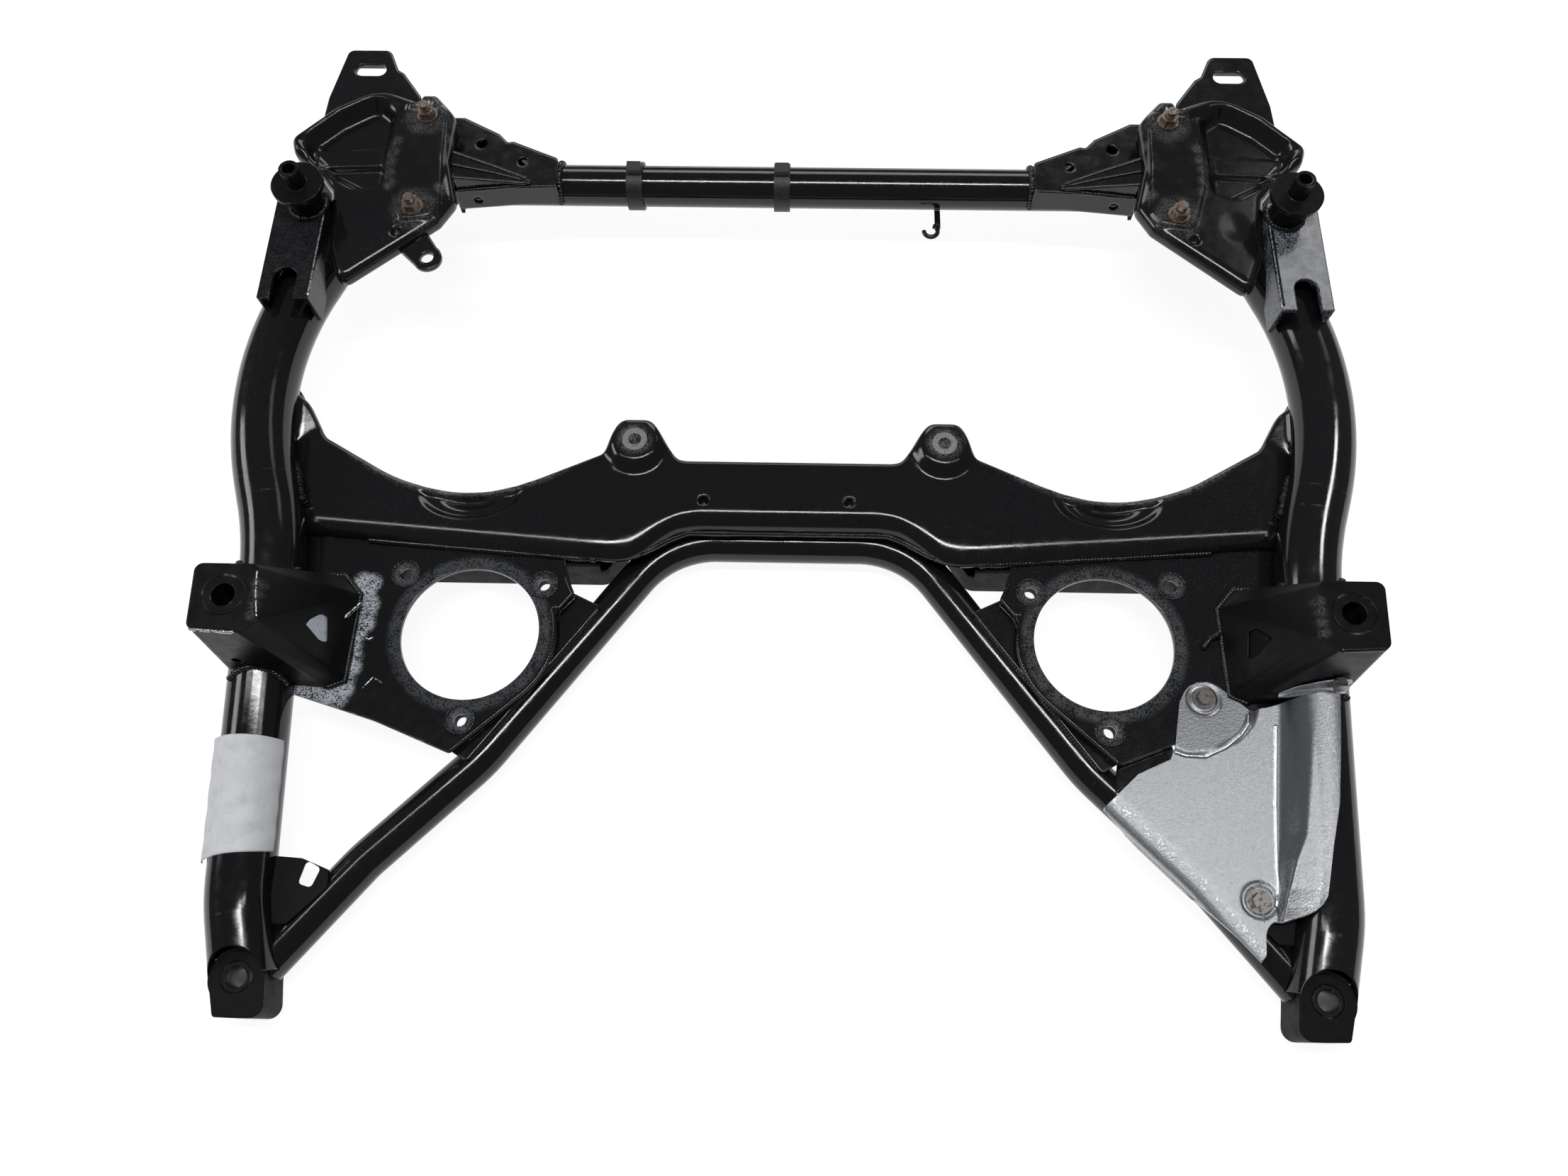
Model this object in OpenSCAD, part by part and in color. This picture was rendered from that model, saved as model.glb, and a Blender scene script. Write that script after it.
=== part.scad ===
// Front axle carrier: two bent side tubes joined by a box crossmember, a V-shaped brace tube
// and a thin front tube, with pressed brackets for the engine, the arms and the body.
// Lies top side up. X runs across the vehicle, +Y to its front, +Z up, millimetres.
// Y sizes are taken from a datum near the crossmember, then shifted to the middle of the length.

/* [Side rails] */
// Outer diameter of each side tube
rail_d = 48; // [44:1:52]
// Wall of each side tube
rail_wall = 3; // [2:0.5:5]
// Half spacing of the tubes at the rear bend
rail_heel_x = 395; // [391:1:399]
// Half spacing of the tubes at the crossmember's rear
rail_waist_x = 402; // [398:1:406]
// Half spacing of the corner that the wide front bend is drawn in
rail_crown_x = 445; // [438:1:452]
// Height of the tube's middle at its rear end
rail_tail_z = 26; // [25:1:28]
// Height of the tube's middle at the crossmember's rear
rail_waist_z = 64; // [60:1:68]
// Height of the tube's middle along the front
rail_crown_z = 75; // [72:1:80]
// Radius of the wide front bend
rail_bend_r = 274; // [240:2:300]

/* [Crossmember] */
// Height of the upper shell's top
cross_top = 56; // [53:1:60]
// Sheet of both shells
cross_sheet = 3; // [2:0.5:4]
// Height where the two shells are welded
cross_seam = 28; // [22:1:34]
// Height of the lower shell's underside
cross_floor = 0; // [0:0.5:6]
// Y of the front edge at the middle
cross_front_y = 106.5; // [102:0.5:110]
// Y of the rear edge at the middle
cross_rear_y = 50; // [46:0.5:54]
// Radius of the scoop in the front edge over each drive shaft
scoop_r = 148; // [125:1:165]
// Half spacing of the steering rack bolts
rack_x = 125.5; // [123:0.5:128]
// Y of the steering rack bolts
rack_y = 120; // [118:0.5:124]
// Rise of each steering rack ear
ear_rise = 8; // [5:0.5:10]
// Bolt hole in each steering rack sleeve
rack_hole_d = 10.5; // [8:0.5:12]

/* [Tubes] */
// Outer diameter of the rear brace tube
brace_d = 30; // [27:0.5:31]
// Wall of the brace tube and of the front tube
tube_wall = 2.5; // [1.5:0.5:4]
// Height of the brace tube's middle
brace_z = 18; // [17:0.5:19]
// Radius of the brace tube's two main bends
brace_bend_r = 80; // [60:2:95]
// Outer diameter of the front cross tube
front_tube_d = 35; // [31:0.5:37]
// Height of the front cross tube's middle
front_tube_z = 62; // [60:0.5:64]
// Y of the front cross tube
front_tube_y = 375.5; // [374:0.5:377]

/* [Arm plates] */
// Height of the plate's main level
plate_top = 45; // [44:0.5:47]
// Sheet of the arm plates
plate_sheet = 4; // [3:0.5:5]
// Half spacing of the two bush openings
bush_x = 246; // [243:0.5:249]
// Y of the bush openings
bush_y = -41.7; // [-44:0.1:-39]
// Diameter of each bush opening
bush_d = 108; // [98:1:112]
// Bolt hole in the arm plates
plate_hole_d = 10; // [9:0.5:12]
// Thread bore of the weld nuts under the arm plates
nut_bore_d = 10; // [6:0.5:11]

/* [Body mounts] */
// Half spacing of the middle body mounts
body_x = 397.5; // [394:0.5:401]
// Y of the middle body mounts
body_y = -47; // [-50:0.5:-44]
// Height of the middle body mounts
body_top = 135; // [125:1:145]
// Sheet of the body mount consoles
body_sheet = 5; // [3:0.5:6]
// Bolt hole of the middle body mounts
body_hole_d = 17; // [14:0.5:20]
// Outer diameter of the sleeves of the middle body mounts
body_sleeve_d = 30; // [26:0.5:33]
// Half spacing of the rear feet bolts
foot_x = 384; // [382:0.5:386]
// Y of the rear feet bolts
foot_y = -299; // [-302:0.5:-296]
// Height of the rear feet
foot_top = 36; // [33:0.5:39]
// Bolt hole of the rear feet
foot_hole_d = 15; // [12:0.5:17]
// Outer diameter of the sleeves in the rear feet
foot_sleeve_d = 22; // [19:0.5:25]
// Half spacing of the front mount sleeves
sleeve_x = 404; // [403:0.5:406]
// Y of the front mount sleeves
sleeve_y = 309; // [307:0.5:311]
// Height of the seat disc on each front sleeve
sleeve_seat = 141; // [134:1:148]
// Bolt hole of the front mount sleeves
sleeve_hole_d = 10.5; // [8:0.5:12]
// Outer diameter of the front mount sleeves
sleeve_d = 27; // [24:0.5:29]
// Height of the slotted brackets
slot_top = 114; // [110:1:118]

/* [Engine consoles] */
// Height of the console's top
console_top = 110; // [107:0.5:114]
// Sheet of the console and its base
console_sheet = 3; // [2:0.5:4]
// Half spacing of the engine mount studs
stud_x = 317.5; // [315:0.5:320]
// Spacing of the two studs on one console
stud_pitch = 97; // [90:1:101]
// Stud diameter
stud_d = 8; // [6:0.5:10]
// Depth of the console's dish
dish_depth = 10; // [6:0.5:12]
// Height of the front horns
horn_top = 85; // [80:0.5:88]
// Depth of the front horns' walls
horn_depth = 18; // [14:1:27]
// Y of the front horns' tips
horn_y = 507; // [500:1:515]

/* [Heat shield] */
// Sheet of the heat shield
shield_sheet = 1.5; // [1:0.25:2]
// Gap between the shield's rolls and the tubes
shield_gap = 2; // [1:0.25:3]

/* [Hidden] */
$fn = 64;
// Root gap left at each welded seam
gap = 0.2;
// Bent stretches are drawn this much thinner than straight ones
bend_thin = 0.05;
foot_end_y = -326;
frame_y = -(horn_y + foot_end_y) / 2;
rail_r = rail_d / 2;
sleeve_r = sleeve_d / 2;
body_sleeve_r = body_sleeve_d / 2;
foot_sleeve_r = foot_sleeve_d / 2;
brace_r = brace_d / 2;
front_tube_r = front_tube_d / 2;
stud_y = 357;
pad_top = console_top + 3;
stud_head_r = stud_d * 0.75;
border_z = brace_z + brace_r + gap;
rail_tail = [382, -298, rail_tail_z, 0];
rail_heel = [rail_heel_x, -243, rail_tail_z + 4, 120];
rail_waist = [rail_waist_x, 27, rail_waist_z, 240];
rail_crown = [rail_crown_x, 167, rail_crown_z, rail_bend_r];
rail_nose = [rail_crown_x - 59, 313, rail_crown_z, 0];
rail_path = [rail_tail, rail_heel, rail_waist, rail_crown, rail_nose];
elbow = [98.4, 48.5, brace_z, brace_bend_r];
knee = [232.9, -136.5, brace_z, 120];
ankle = [310.6, -214.2, brace_z, 120];
toe = [372, -290, brace_z, 0];
brace_half = [elbow, knee, ankle, toe];
brace_path = concat([for (i = [3:-1:0]) flip(brace_half[i])], brace_half);
leg = unit(flat(knee) - flat(elbow));
leg_out = [-leg[1], leg[0]];
shin = unit(flat(ankle) - flat(knee));

// Vectors and outlines
function unit(v) = v / norm(v);
function flat(p) = [p[0], p[1]];
function solid(p) = [p[0], p[1], p[2]];
function flip(p) = [-p[0], p[1], p[2], p[3]];
function turn(a, b) = a[0] * b[1] - a[1] * b[0];
function both_sides(p) = concat(p, [for (i = [len(p) - 1:-1:0]) [-p[i][0], p[i][1], p[i][2]]]);
function edge_in(p, i) = unit(flat(p[i]) - flat(p[(i + len(p) - 1) % len(p)]));
function edge_out(p, i) = unit(flat(p[(i + 1) % len(p)]) - flat(p[i]));

// An outline is a counter-clockwise list of corners [x, y, radius]; this moves every edge in by d.
function inset(p, d) = [
  for (i = [0:len(p) - 1])
    let (a = edge_in(p, i), b = edge_out(p, i))
    let (m = [-a[1] - b[1], a[0] + b[0]] / (1 + a * b))
    let (r = p[i][2] == 0 ? 0 : p[i][2] + (turn(a, b) > 0 ? -d : d))
    [p[i][0] + d * m[0], p[i][1] + d * m[1], max(r, 0)]
];

// This turns each corner with a radius into an arc of short chords.
function rounded(p) = [
  for (i = [0:len(p) - 1])
    let (a = edge_in(p, i), b = edge_out(p, i), r = p[i][2])
    let (bend = atan2(turn(a, b), a * b), side = bend > 0 ? 1 : -1)
    let (back = r * tan(abs(bend) / 2), n = r == 0 ? 0 : ceil(abs(bend) / (r > 100 ? 5 : 15)))
    let (c = flat(p[i]) - a * back + side * r * [-a[1], a[0]])
    let (from = atan2(a[1], a[0]) - side * 90)
    for (k = [0:n])
      n == 0 ? flat(p[i]) : c + r * [cos(from + bend * k / n), sin(from + bend * k / n)]
];

module slab(p, low, high) {
  translate([0, 0, low]) linear_extrude(high - low) polygon(rounded(p));
}

// Inverted tray of sheet t: a top and walls all round, open below.
module pan(p, low, high, t) {
  difference() {
    slab(p, low, high);
    slab(inset(p, t), low - 1, high - t);
  }
}

module post(x, y, low, high, r) {
  translate([x, y, low]) cylinder(h = high - low, r = r);
}

// Frame whose third axis runs along a, set at p.
module along(p, a) {
  u = unit(cross([0, 0, 1], a));
  v = cross(a, u);
  multmatrix([
    [u[0], v[0], a[0], p[0]],
    [u[1], v[1], a[1], p[1]],
    [u[2], v[2], a[2], p[2]],
    [0, 0, 0, 1]
  ]) children();
}

// Length that a bend of path p takes from the straights beside corner i.
function bend_angle(p, i) = acos(unit(solid(p[i]) - solid(p[i - 1])) * unit(solid(p[i + 1]) - solid(p[i])));
function bend_back(p, i) = i == 0 || i == len(p) - 1 ? 0 : p[i][3] * tan(bend_angle(p, i) / 2);

// Round bar through the corners [x, y, z, bend radius] of path p, its ends longer by extra.
module bent_bar(p, r, extra = 0) {
  last = len(p) - 1;
  for (i = [0:last - 1]) {
    a = unit(solid(p[i + 1]) - solid(p[i]));
    start = i == 0 ? -extra : bend_back(p, i) - 1;
    stop = norm(solid(p[i + 1]) - solid(p[i])) - (i == last - 1 ? -extra : bend_back(p, i + 1) - 1);
    along(solid(p[i]) + a * start, a) cylinder(h = stop - start, r = r);
  }
  for (i = [1:last - 1]) {
    a = unit(solid(p[i]) - solid(p[i - 1]));
    b = unit(solid(p[i + 1]) - solid(p[i]));
    k = unit(cross(a, b));
    m = cross(k, a);
    c = solid(p[i]) - a * bend_back(p, i) + m * p[i][3];
    multmatrix([
      [-m[0], a[0], k[0], c[0]],
      [-m[1], a[1], k[1], c[1]],
      [-m[2], a[2], k[2], c[2]],
      [0, 0, 0, 1]
    ]) rotate_extrude(angle = bend_angle(p, i)) translate([p[i][3], 0]) circle(r = r - bend_thin);
  }
}

module bent_tube(p, r, wall) {
  difference() {
    bent_bar(p, r);
    bent_bar(p, r - wall, 1);
  }
}

// Solids that other pieces are cut to fit
module rail_solid() {
  bent_bar(rail_path, rail_r + gap, 0);
}

module brace_solid() {
  bent_bar(brace_path, brace_r + gap, 0);
}

module front_tube_solid() {
  translate([0, front_tube_y, front_tube_z]) rotate([0, 90, 0])
    cylinder(h = 700, r = front_tube_r + gap, center = true);
}

// Side rails
module side_rail() {
  difference() {
    bent_tube(rail_path, rail_r, rail_wall);
    post(body_x, body_y, -1, 150, body_sleeve_r + gap);
    post(sleeve_x, sleeve_y, 0, 150, sleeve_r + gap);
    translate([sleeve_x - sleeve_r - gap, sleeve_y, 0]) cube([2 * rail_d, 2 * rail_d, 150]);
    foot_block(gap, -1, 80);
  }
}

// Crossmember
lower_rear_y = 17.5;
cross_end = [
  [rail_waist_x + 4, 52, 0], [rail_waist_x + 14, 75, 0],
  [rail_crown_x - 19, 130, 0], [rail_crown_x - 18, 186, 0]
];
cross_scoop = [[391.4, 128.6, 60], [268.9, 58.2, scoop_r]];
upper_outline = both_sides(concat(
  [[80, cross_rear_y, 30], [131, cross_rear_y - 19.5, 25]], cross_end, cross_scoop,
  [[151, 112.5, 10], [rack_x + 13.5, 139.5, 8], [rack_x - 13.5, 139.5, 8], [90, cross_front_y, 15]]));
lower_outline = both_sides(concat(
  [[117, 64, 8], [147, lower_rear_y, 12], [rail_waist_x, lower_rear_y, 0]], cross_end, cross_scoop,
  [[155, 111, 20], [132, cross_front_y, 20]]));
ear_outline = [
  [rack_x - 22, 108, 12], [rack_x, 98, 22], [rack_x + 20, 108, 12],
  [rack_x + 13.5, 139.5, 8], [rack_x - 13.5, 139.5, 8]
];
dip_x = 254;
dip_y = 93;

// Sloping skirt from p to q along the rear edge, wide metres out and falling to low.
module skirt(p, q, wide, low) {
  d = unit(q - p);
  translate([p[0], p[1], 0]) rotate([0, 0, atan2(d[1], d[0])]) rotate([90, 0, 90])
    translate([0, 0, -4]) linear_extrude(norm(q - p) + 8)
      polygon([[cross_sheet, cross_top], [0, cross_top], [-wide, low], [cross_sheet, low]]);
}

module crossmember_upper() {
  difference() {
    union() {
      pan(upper_outline, cross_seam, cross_top, cross_sheet);
      for (s = [-1, 1]) {
        skirt([s < 0 ? -388 : 131, s < 0 ? 50.5 : 30.5] + [0, cross_rear_y - 50],
          [s < 0 ? -131 : 388, s < 0 ? 30.5 : 50.5] + [0, cross_rear_y - 50], 12, plate_top + gap);
      }
      for (s = [-1, 1])
        mirror([s < 0 ? 1 : 0, 0, 0]) {
          slab(ear_outline, cross_top - 1, cross_top + ear_rise);
          intersection() {
            post(dip_x, dip_y, cross_top - 10, cross_top, 40);
            slab(upper_outline, 0, 100);
          }
        }
    }
    for (s = [-1, 1])
      mirror([s < 0 ? 1 : 0, 0, 0]) {
        slab(inset(ear_outline, cross_sheet), cross_seam, cross_top + ear_rise - cross_sheet);
        post(dip_x, dip_y, cross_top - 7, cross_top + 1, 37);
        post(rack_x, rack_y, 0, 100, 10 + gap);
        rail_solid();
      }
    post(-68, 70, 0, 100, 4);
    post(49, 70.5, 0, 100, 4);
    brace_solid();
  }
}

// Space above the lower shell's floor, which rises towards the rails; lift moves it up.
module above_floor(lift, high) {
  low = cross_floor + lift;
  rise = cross_seam - cross_floor - 8;
  translate([0, 300, 0]) rotate([90, 0, 0]) linear_extrude(400)
    polygon([
      [-450, low + rise], [-300, low], [300, low], [450, low + rise], [450, high], [-450, high]
    ]);
}

module crossmember_lower() {
  difference() {
    union() {
      difference() {
        intersection() {
          slab(lower_outline, cross_floor, cross_seam - gap);
          above_floor(0, cross_seam);
        }
        intersection() {
          slab(inset(lower_outline, cross_sheet), cross_floor, cross_seam + 2);
          above_floor(cross_sheet, cross_seam + 1);
        }
      }
      for (s = [-1, 1])
        mirror([s < 0 ? 1 : 0, 0, 0])
          translate([150, lower_rear_y, cross_seam - 1])
            cube([rail_waist_x - 150, cross_sheet, plate_top - plate_sheet - gap - cross_seam + 1]);
    }
    for (s = [-1, 1])
      mirror([s < 0 ? 1 : 0, 0, 0]) rail_solid();
    brace_solid();
  }
}

module rack_sleeve() {
  difference() {
    post(rack_x, rack_y, cross_seam, cross_top + ear_rise + 0.6, 10);
    post(rack_x, rack_y, 0, 100, rack_hole_d / 2);
  }
}

// Tubes
module brace_tube() {
  difference() {
    bent_tube(brace_path, brace_r, tube_wall);
    for (s = [-1, 1])
      mirror([s < 0 ? 1 : 0, 0, 0]) {
        rail_solid();
        foot_block(gap, -1, 80);
      }
  }
}

module front_tube() {
  translate([0, front_tube_y, front_tube_z]) rotate([0, 90, 0]) difference() {
    cylinder(h = 620, r = front_tube_r, center = true);
    cylinder(h = 622, r = front_tube_r - tube_wall, center = true);
  }
}

// Arm plates
collar_r = bush_d / 2 + 12;
plate_outline = [
  [251, -137, 4], [311, -113, 30], [377, -93, 0], [397, -93, 0], [401, -41, 0], [402, 40, 0],
  [395, 53, 0], [174, 40, 0], [177, 20, 6], [168, -7.6, 3], [178.5, -19.5, 5], [200.8, -89.8, 0]
];
border_outline = [
  [147, -15, 3], [238.7, -141.3, 3], [258, -130, 0], [222, -70, 0], [186, -24, 0], [170, -4, 0]
];
plate_holes = [[302.4, 7], [191.8, -0.5], [245.2, -111.4]];

module arm_plate(shield_hole) {
  low = plate_top - plate_sheet;
  difference() {
    union() {
      slab(plate_outline, low, plate_top);
      post(bush_x, bush_y, low, plate_top, collar_r);
      intersection() {
        difference() {
          union() {
            slab(plate_outline, border_z, plate_top);
            post(bush_x, bush_y, border_z, plate_top, collar_r);
          }
          slab(inset(plate_outline, plate_sheet), border_z - 1, low);
          post(bush_x, bush_y, border_z - 1, low, collar_r - plate_sheet);
        }
        slab(border_outline, border_z, plate_top);
      }
      difference() {
        slab(border_outline, border_z, border_z + plate_sheet);
        slab(inset(plate_outline, plate_sheet), 0, low);
        post(bush_x, bush_y, 0, low, collar_r - plate_sheet);
      }
    }
    post(bush_x, bush_y, 0, 100, bush_d / 2);
    for (h = plate_holes) {
      post(h[0], h[1], 0, 100, plate_hole_d / 2);
      post(h[0], h[1], 0, low, 8 + gap);
    }
    if (shield_hole)
      post(317, -85, 0, 100, 3.5);
    slab(inset(upper_outline, -gap), cross_seam - 1, 100);
    rail_solid();
  }
}

module plate_weld_nuts() {
  for (h = plate_holes)
    difference() {
      post(h[0], h[1], border_z, plate_top - plate_sheet, 8);
      post(h[0], h[1], 0, 100, nut_bore_d / 2);
    }
}

// Middle body mounts
body_cap = [[369, -66, 4], [382, -75, 4], [419, -73, 6], [422, -23, 6], [377, -23, 4]];
body_foot = [[337, -82, 6], [350, -88, 6], [420, -84, 6], [424, -5, 4], [350, 4, 6], [336, -12, 6]];

module body_frustum(d) {
  hull() {
    slab(inset(body_cap, d), body_top - d - 2, body_top - d);
    slab(inset(body_foot, d), plate_top + gap - d, plate_top + 2);
  }
}

module body_console() {
  difference() {
    body_frustum(0);
    body_frustum(body_sheet);
    slab([[355, -52, 2], [347, -34, 2], [345, -65, 2]], plate_top + 6, body_top - 8);
    post(body_x, body_y, 0, 200, body_sleeve_r + gap);
    translate([body_x, -120, 30]) cube([40, 140, 30]);
    on_flange() translate([0, 0, -20]) cylinder(h = 40, r = 3.5);
    rail_solid();
  }
}

module body_sleeve() {
  difference() {
    post(body_x, body_y, rail_waist_z - 38, body_top, body_sleeve_r);
    post(body_x, body_y, 0, 200, body_hole_d / 2);
  }
}

// Rear feet
foot_r = 20;
foot_outline = [
  [foot_x - 24, foot_end_y, 9], [foot_x + 12, foot_end_y, 3],
  [foot_x + foot_r, foot_y, 0], [foot_x - foot_r, foot_y, 0]
];

module foot_block(grow, low, high) {
  slab(inset(foot_outline, -grow), low, high);
  post(foot_x, foot_y, low, high, foot_r + grow);
}

module rear_foot() {
  difference() {
    foot_block(0, 2, foot_top);
    foot_block(-4, 1, foot_top - 4);
    post(foot_x, foot_y, 0, 100, foot_sleeve_r + gap);
  }
}

module foot_sleeve() {
  difference() {
    post(foot_x, foot_y, 0, foot_top, foot_sleeve_r);
    post(foot_x, foot_y, -1, 100, foot_hole_d / 2);
  }
}

// Front mounts
slot_side = sleeve_x - 14;
slot_rear = sleeve_y - 92;
slot_low = rail_crown_z + 7;
slot_x = sleeve_x + 8;
slot_y = sleeve_y - 72;
slot_r = 9.8;

module slot_bracket() {
  difference() {
    translate([slot_side, slot_rear, slot_low]) cube([41.5, 105, slot_top - slot_low]);
    translate([slot_side + 3.5, slot_rear - 1, slot_low - 1]) cube([34.5, 107, slot_top - slot_low - 2.5]);
    post(slot_x, slot_y, slot_low - 2, slot_top + 1, slot_r);
    translate([slot_x - slot_r, slot_rear - 7, slot_low - 2])
      cube([2 * slot_r, slot_y - slot_rear + 7, slot_top - slot_low + 3]);
    post(sleeve_x, sleeve_y, 0, 200, sleeve_r + gap);
    rail_solid();
    slab(inset(console_outline, -gap), 0, 200);
  }
}

module front_sleeve() {
  difference() {
    union() {
      post(sleeve_x, sleeve_y, 60, sleeve_seat, sleeve_r);
      post(sleeve_x, sleeve_y, sleeve_seat - 4, sleeve_seat, 21);
      post(sleeve_x, sleeve_y, sleeve_seat - 1, sleeve_seat + 17, 8);
    }
    post(sleeve_x, sleeve_y, 0, 300, sleeve_hole_d / 2);
  }
}

// Engine consoles
console_outline = [
  [285, 321, 14], [297, 299, 6], [366, 240, 8], [374, 243, 6], [385, 272, 0], [387, 300, 0],
  [392, 330, 10], [408, 352, 10], [428, 366, 8], [433, 381, 10], [400.5, 414.5, 20],
  [364.6, 437, 22], [328, 422, 0], [327, 430, 4], [313, 430, 5], [296, 410, 5], [296, 364, 8]
];
dish_outline = [
  [349, 336, 10], [368, 329, 14], [398, 346, 10], [417, 366, 8], [419, 384, 8], [396, 407, 20],
  [366, 427, 16], [347, 412, 12]
];
pad_outline = [
  [296, 312, 10], [304, 300, 8], [330, 296, 10], [344, 341, 30], [345, 376, 30],
  [336, 419, 8], [302, 414, 8]
];
rib_outline = [[340, 356, 0], [404, 352, 8], [414, 376, 6], [340, 380, 0]];

module engine_console() {
  low = console_top - console_sheet;
  floor_z = console_top - dish_depth;
  difference() {
    union() {
      pan(console_outline, console_top - 12, console_top, console_sheet);
      slab(dish_outline, floor_z - console_sheet, console_top);
      slab(pad_outline, low, pad_top);
      intersection() {
        difference() {
          slab(console_outline, low, console_top + 4);
          slab(inset(console_outline, 4), low - 1, console_top + 5);
        }
        slab([[340, 395, 0], [440, 360, 0], [440, 450, 0], [340, 450, 0]], 0, 200);
      }
    }
    difference() {
      slab(inset(dish_outline, console_sheet), floor_z, console_top + 1);
      slab(rib_outline, floor_z - 1, floor_z + 5);
    }
    slab(inset(pad_outline, console_sheet), low - 1, console_top);
    slab(inset(rib_outline, console_sheet), floor_z - console_sheet - 1, floor_z + 2);
    for (s = [-1, 1]) {
      post(stud_x, stud_y + s * stud_pitch / 2, 0, 200, stud_d / 2 + gap);
      post(stud_x, stud_y + s * stud_pitch / 2, 0, console_top - gap / 2, stud_head_r + gap);
    }
    post(sleeve_x, sleeve_y, 0, 130, sleeve_r + gap);
    rail_solid();
  }
}

module console_base_solid(grow) {
  slab(inset(console_outline, console_sheet + gap - grow), 40 - grow, console_top - console_sheet - gap);
}

module console_base() {
  difference() {
    console_base_solid(0);
    slab(inset(console_outline, 2 * console_sheet + gap), 39, 200);
    slab([[200, 200, 0], [400, 200, 0], [400, 292, 0], [318, 362, 0], [200, 362, 0]], 0, console_top - 12);
    slab(inset(dish_outline, -gap), console_top - dish_depth - console_sheet - gap, 200);
    post(sleeve_x, sleeve_y, 0, 200, sleeve_r + gap);
    rail_solid();
    front_tube_solid();
  }
}

module engine_studs() {
  for (s = [-1, 1])
    translate([stud_x, stud_y + s * stud_pitch / 2, console_top - 8]) {
      cylinder(h = 25, r = stud_d / 2);
      cylinder(h = 8 - gap, r = stud_head_r);
    }
}

module engine_nuts() {
  for (s = [-1, 1])
    translate([stud_x, stud_y + s * stud_pitch / 2, pad_top]) difference() {
      union() {
        cylinder(h = 1.8, r = 8.9);
        cylinder(h = 8, r = 7.5, $fn = 6);
      }
      translate([0, 0, -1]) cylinder(h = 20, r = stud_d / 2 + gap);
    }
}

// Gussets over the front tube, and horns
gusset_top = front_tube_z + front_tube_r + 6;
gusset_outline = [
  [207, 355, 3], [240, 355, 8], [318, 347, 0], [318, 429, 0], [295, 429, 4], [262, 411, 2],
  [254, 402, 2], [249, 403, 2], [208, 385, 4]
];
horn_outline = [
  [338, 405, 0], [424, 380, 0], [421, 451, 3], [411, horn_y, 6], [375, horn_y, 6], [371, horn_y - 4, 3],
  [363, horn_y - 23, 4], [357, horn_y - 27, 4], [338, 453, 4]
];

module tube_gusset() {
  difference() {
    union() {
      pan(gusset_outline, front_tube_z - 1, gusset_top, console_sheet);
      intersection() {
        slab(gusset_outline, front_tube_z - 1, front_tube_z - 1 + console_sheet);
        translate([200, front_tube_y + front_tube_r + 4, 0]) cube([120, 60, 100]);
      }
    }
    post(277, 400.7, 70, 100, 5);
    post(238.5, 381.3, 70, 100, 4.5);
    translate([278, 370, front_tube_z + 9]) rotate([90, 0, 0]) cylinder(h = 40, r = 4);
    front_tube_solid();
    console_base_solid(gap);
  }
}

module gusset_rib() {
  difference() {
    intersection() {
      slab([[229, 356, 0], [302, 348, 0], [302, 378, 0], [229, 360, 0]], gusset_top + gap, 130);
      translate([0, 380, 0]) rotate([90, 0, 0]) linear_extrude(60)
        polygon([[225, gusset_top], [305, gusset_top], [305, gusset_top + 19], [225, gusset_top + 1]]);
    }
    slab(inset(console_outline, -gap), 0, 200);
  }
}

module front_horn() {
  difference() {
    pan(horn_outline, horn_top - horn_depth, horn_top, 3.5);
    for (x = [381, 395])
      post(x, horn_y - 23, 0, 200, 7);
    translate([381, horn_y - 30, 0]) cube([14, 14, 200]);
    console_base_solid(gap);
    slab([[300, 300, 0], [450, 300, 0], [450, 330, 0], [300, 330, 0]], 0, 1);
  }
}

// Small brackets and clips
module shield_tab() {
  difference() {
    slab([[385, -262, 0], [385, -213, 0], [352, -215, 4], [331, -223, 3], [330, -236, 0], [356, -262, 0]],
      brace_z + 13, brace_z + 16);
    slab([[349, -216, 3], [337, -222, 3], [342, -236, 3], [353, -233, 3]], 0, 100);
    rail_solid();
    brace_solid();
  }
}

module console_tab() {
  low = console_top - 12;
  difference() {
    union() {
      post(303.5, 267, low, low + 4, 12);
      slab([[292, 270, 0], [311, 258, 0], [334, 280, 0], [312, 300, 0]], low, low + 4);
    }
    post(303.5, 267, 0, 200, 5.5);
    slab(inset(console_outline, -gap), 0, 200);
  }
}

module tube_hook() {
  difference() {
    union() {
      translate([124.5, 343, 48]) cube([5, 24, 3]);
      translate([121, 340, 49.5]) rotate([0, 0, -180])
        rotate_extrude(angle = 250) translate([6, 0]) circle(r = 2, $fn = 24);
    }
    front_tube_solid();
  }
}

module tube_clip(x) {
  translate([x - 7, front_tube_y, front_tube_z]) rotate([0, 90, 0]) difference() {
    union() {
      cylinder(h = 14, r = front_tube_r + 3);
      translate([-front_tube_r - 9, -5, 1]) cube([10, 10, 12]);
    }
    translate([0, 0, -1]) cylinder(h = 16, r = front_tube_r + gap);
  }
}

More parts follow.
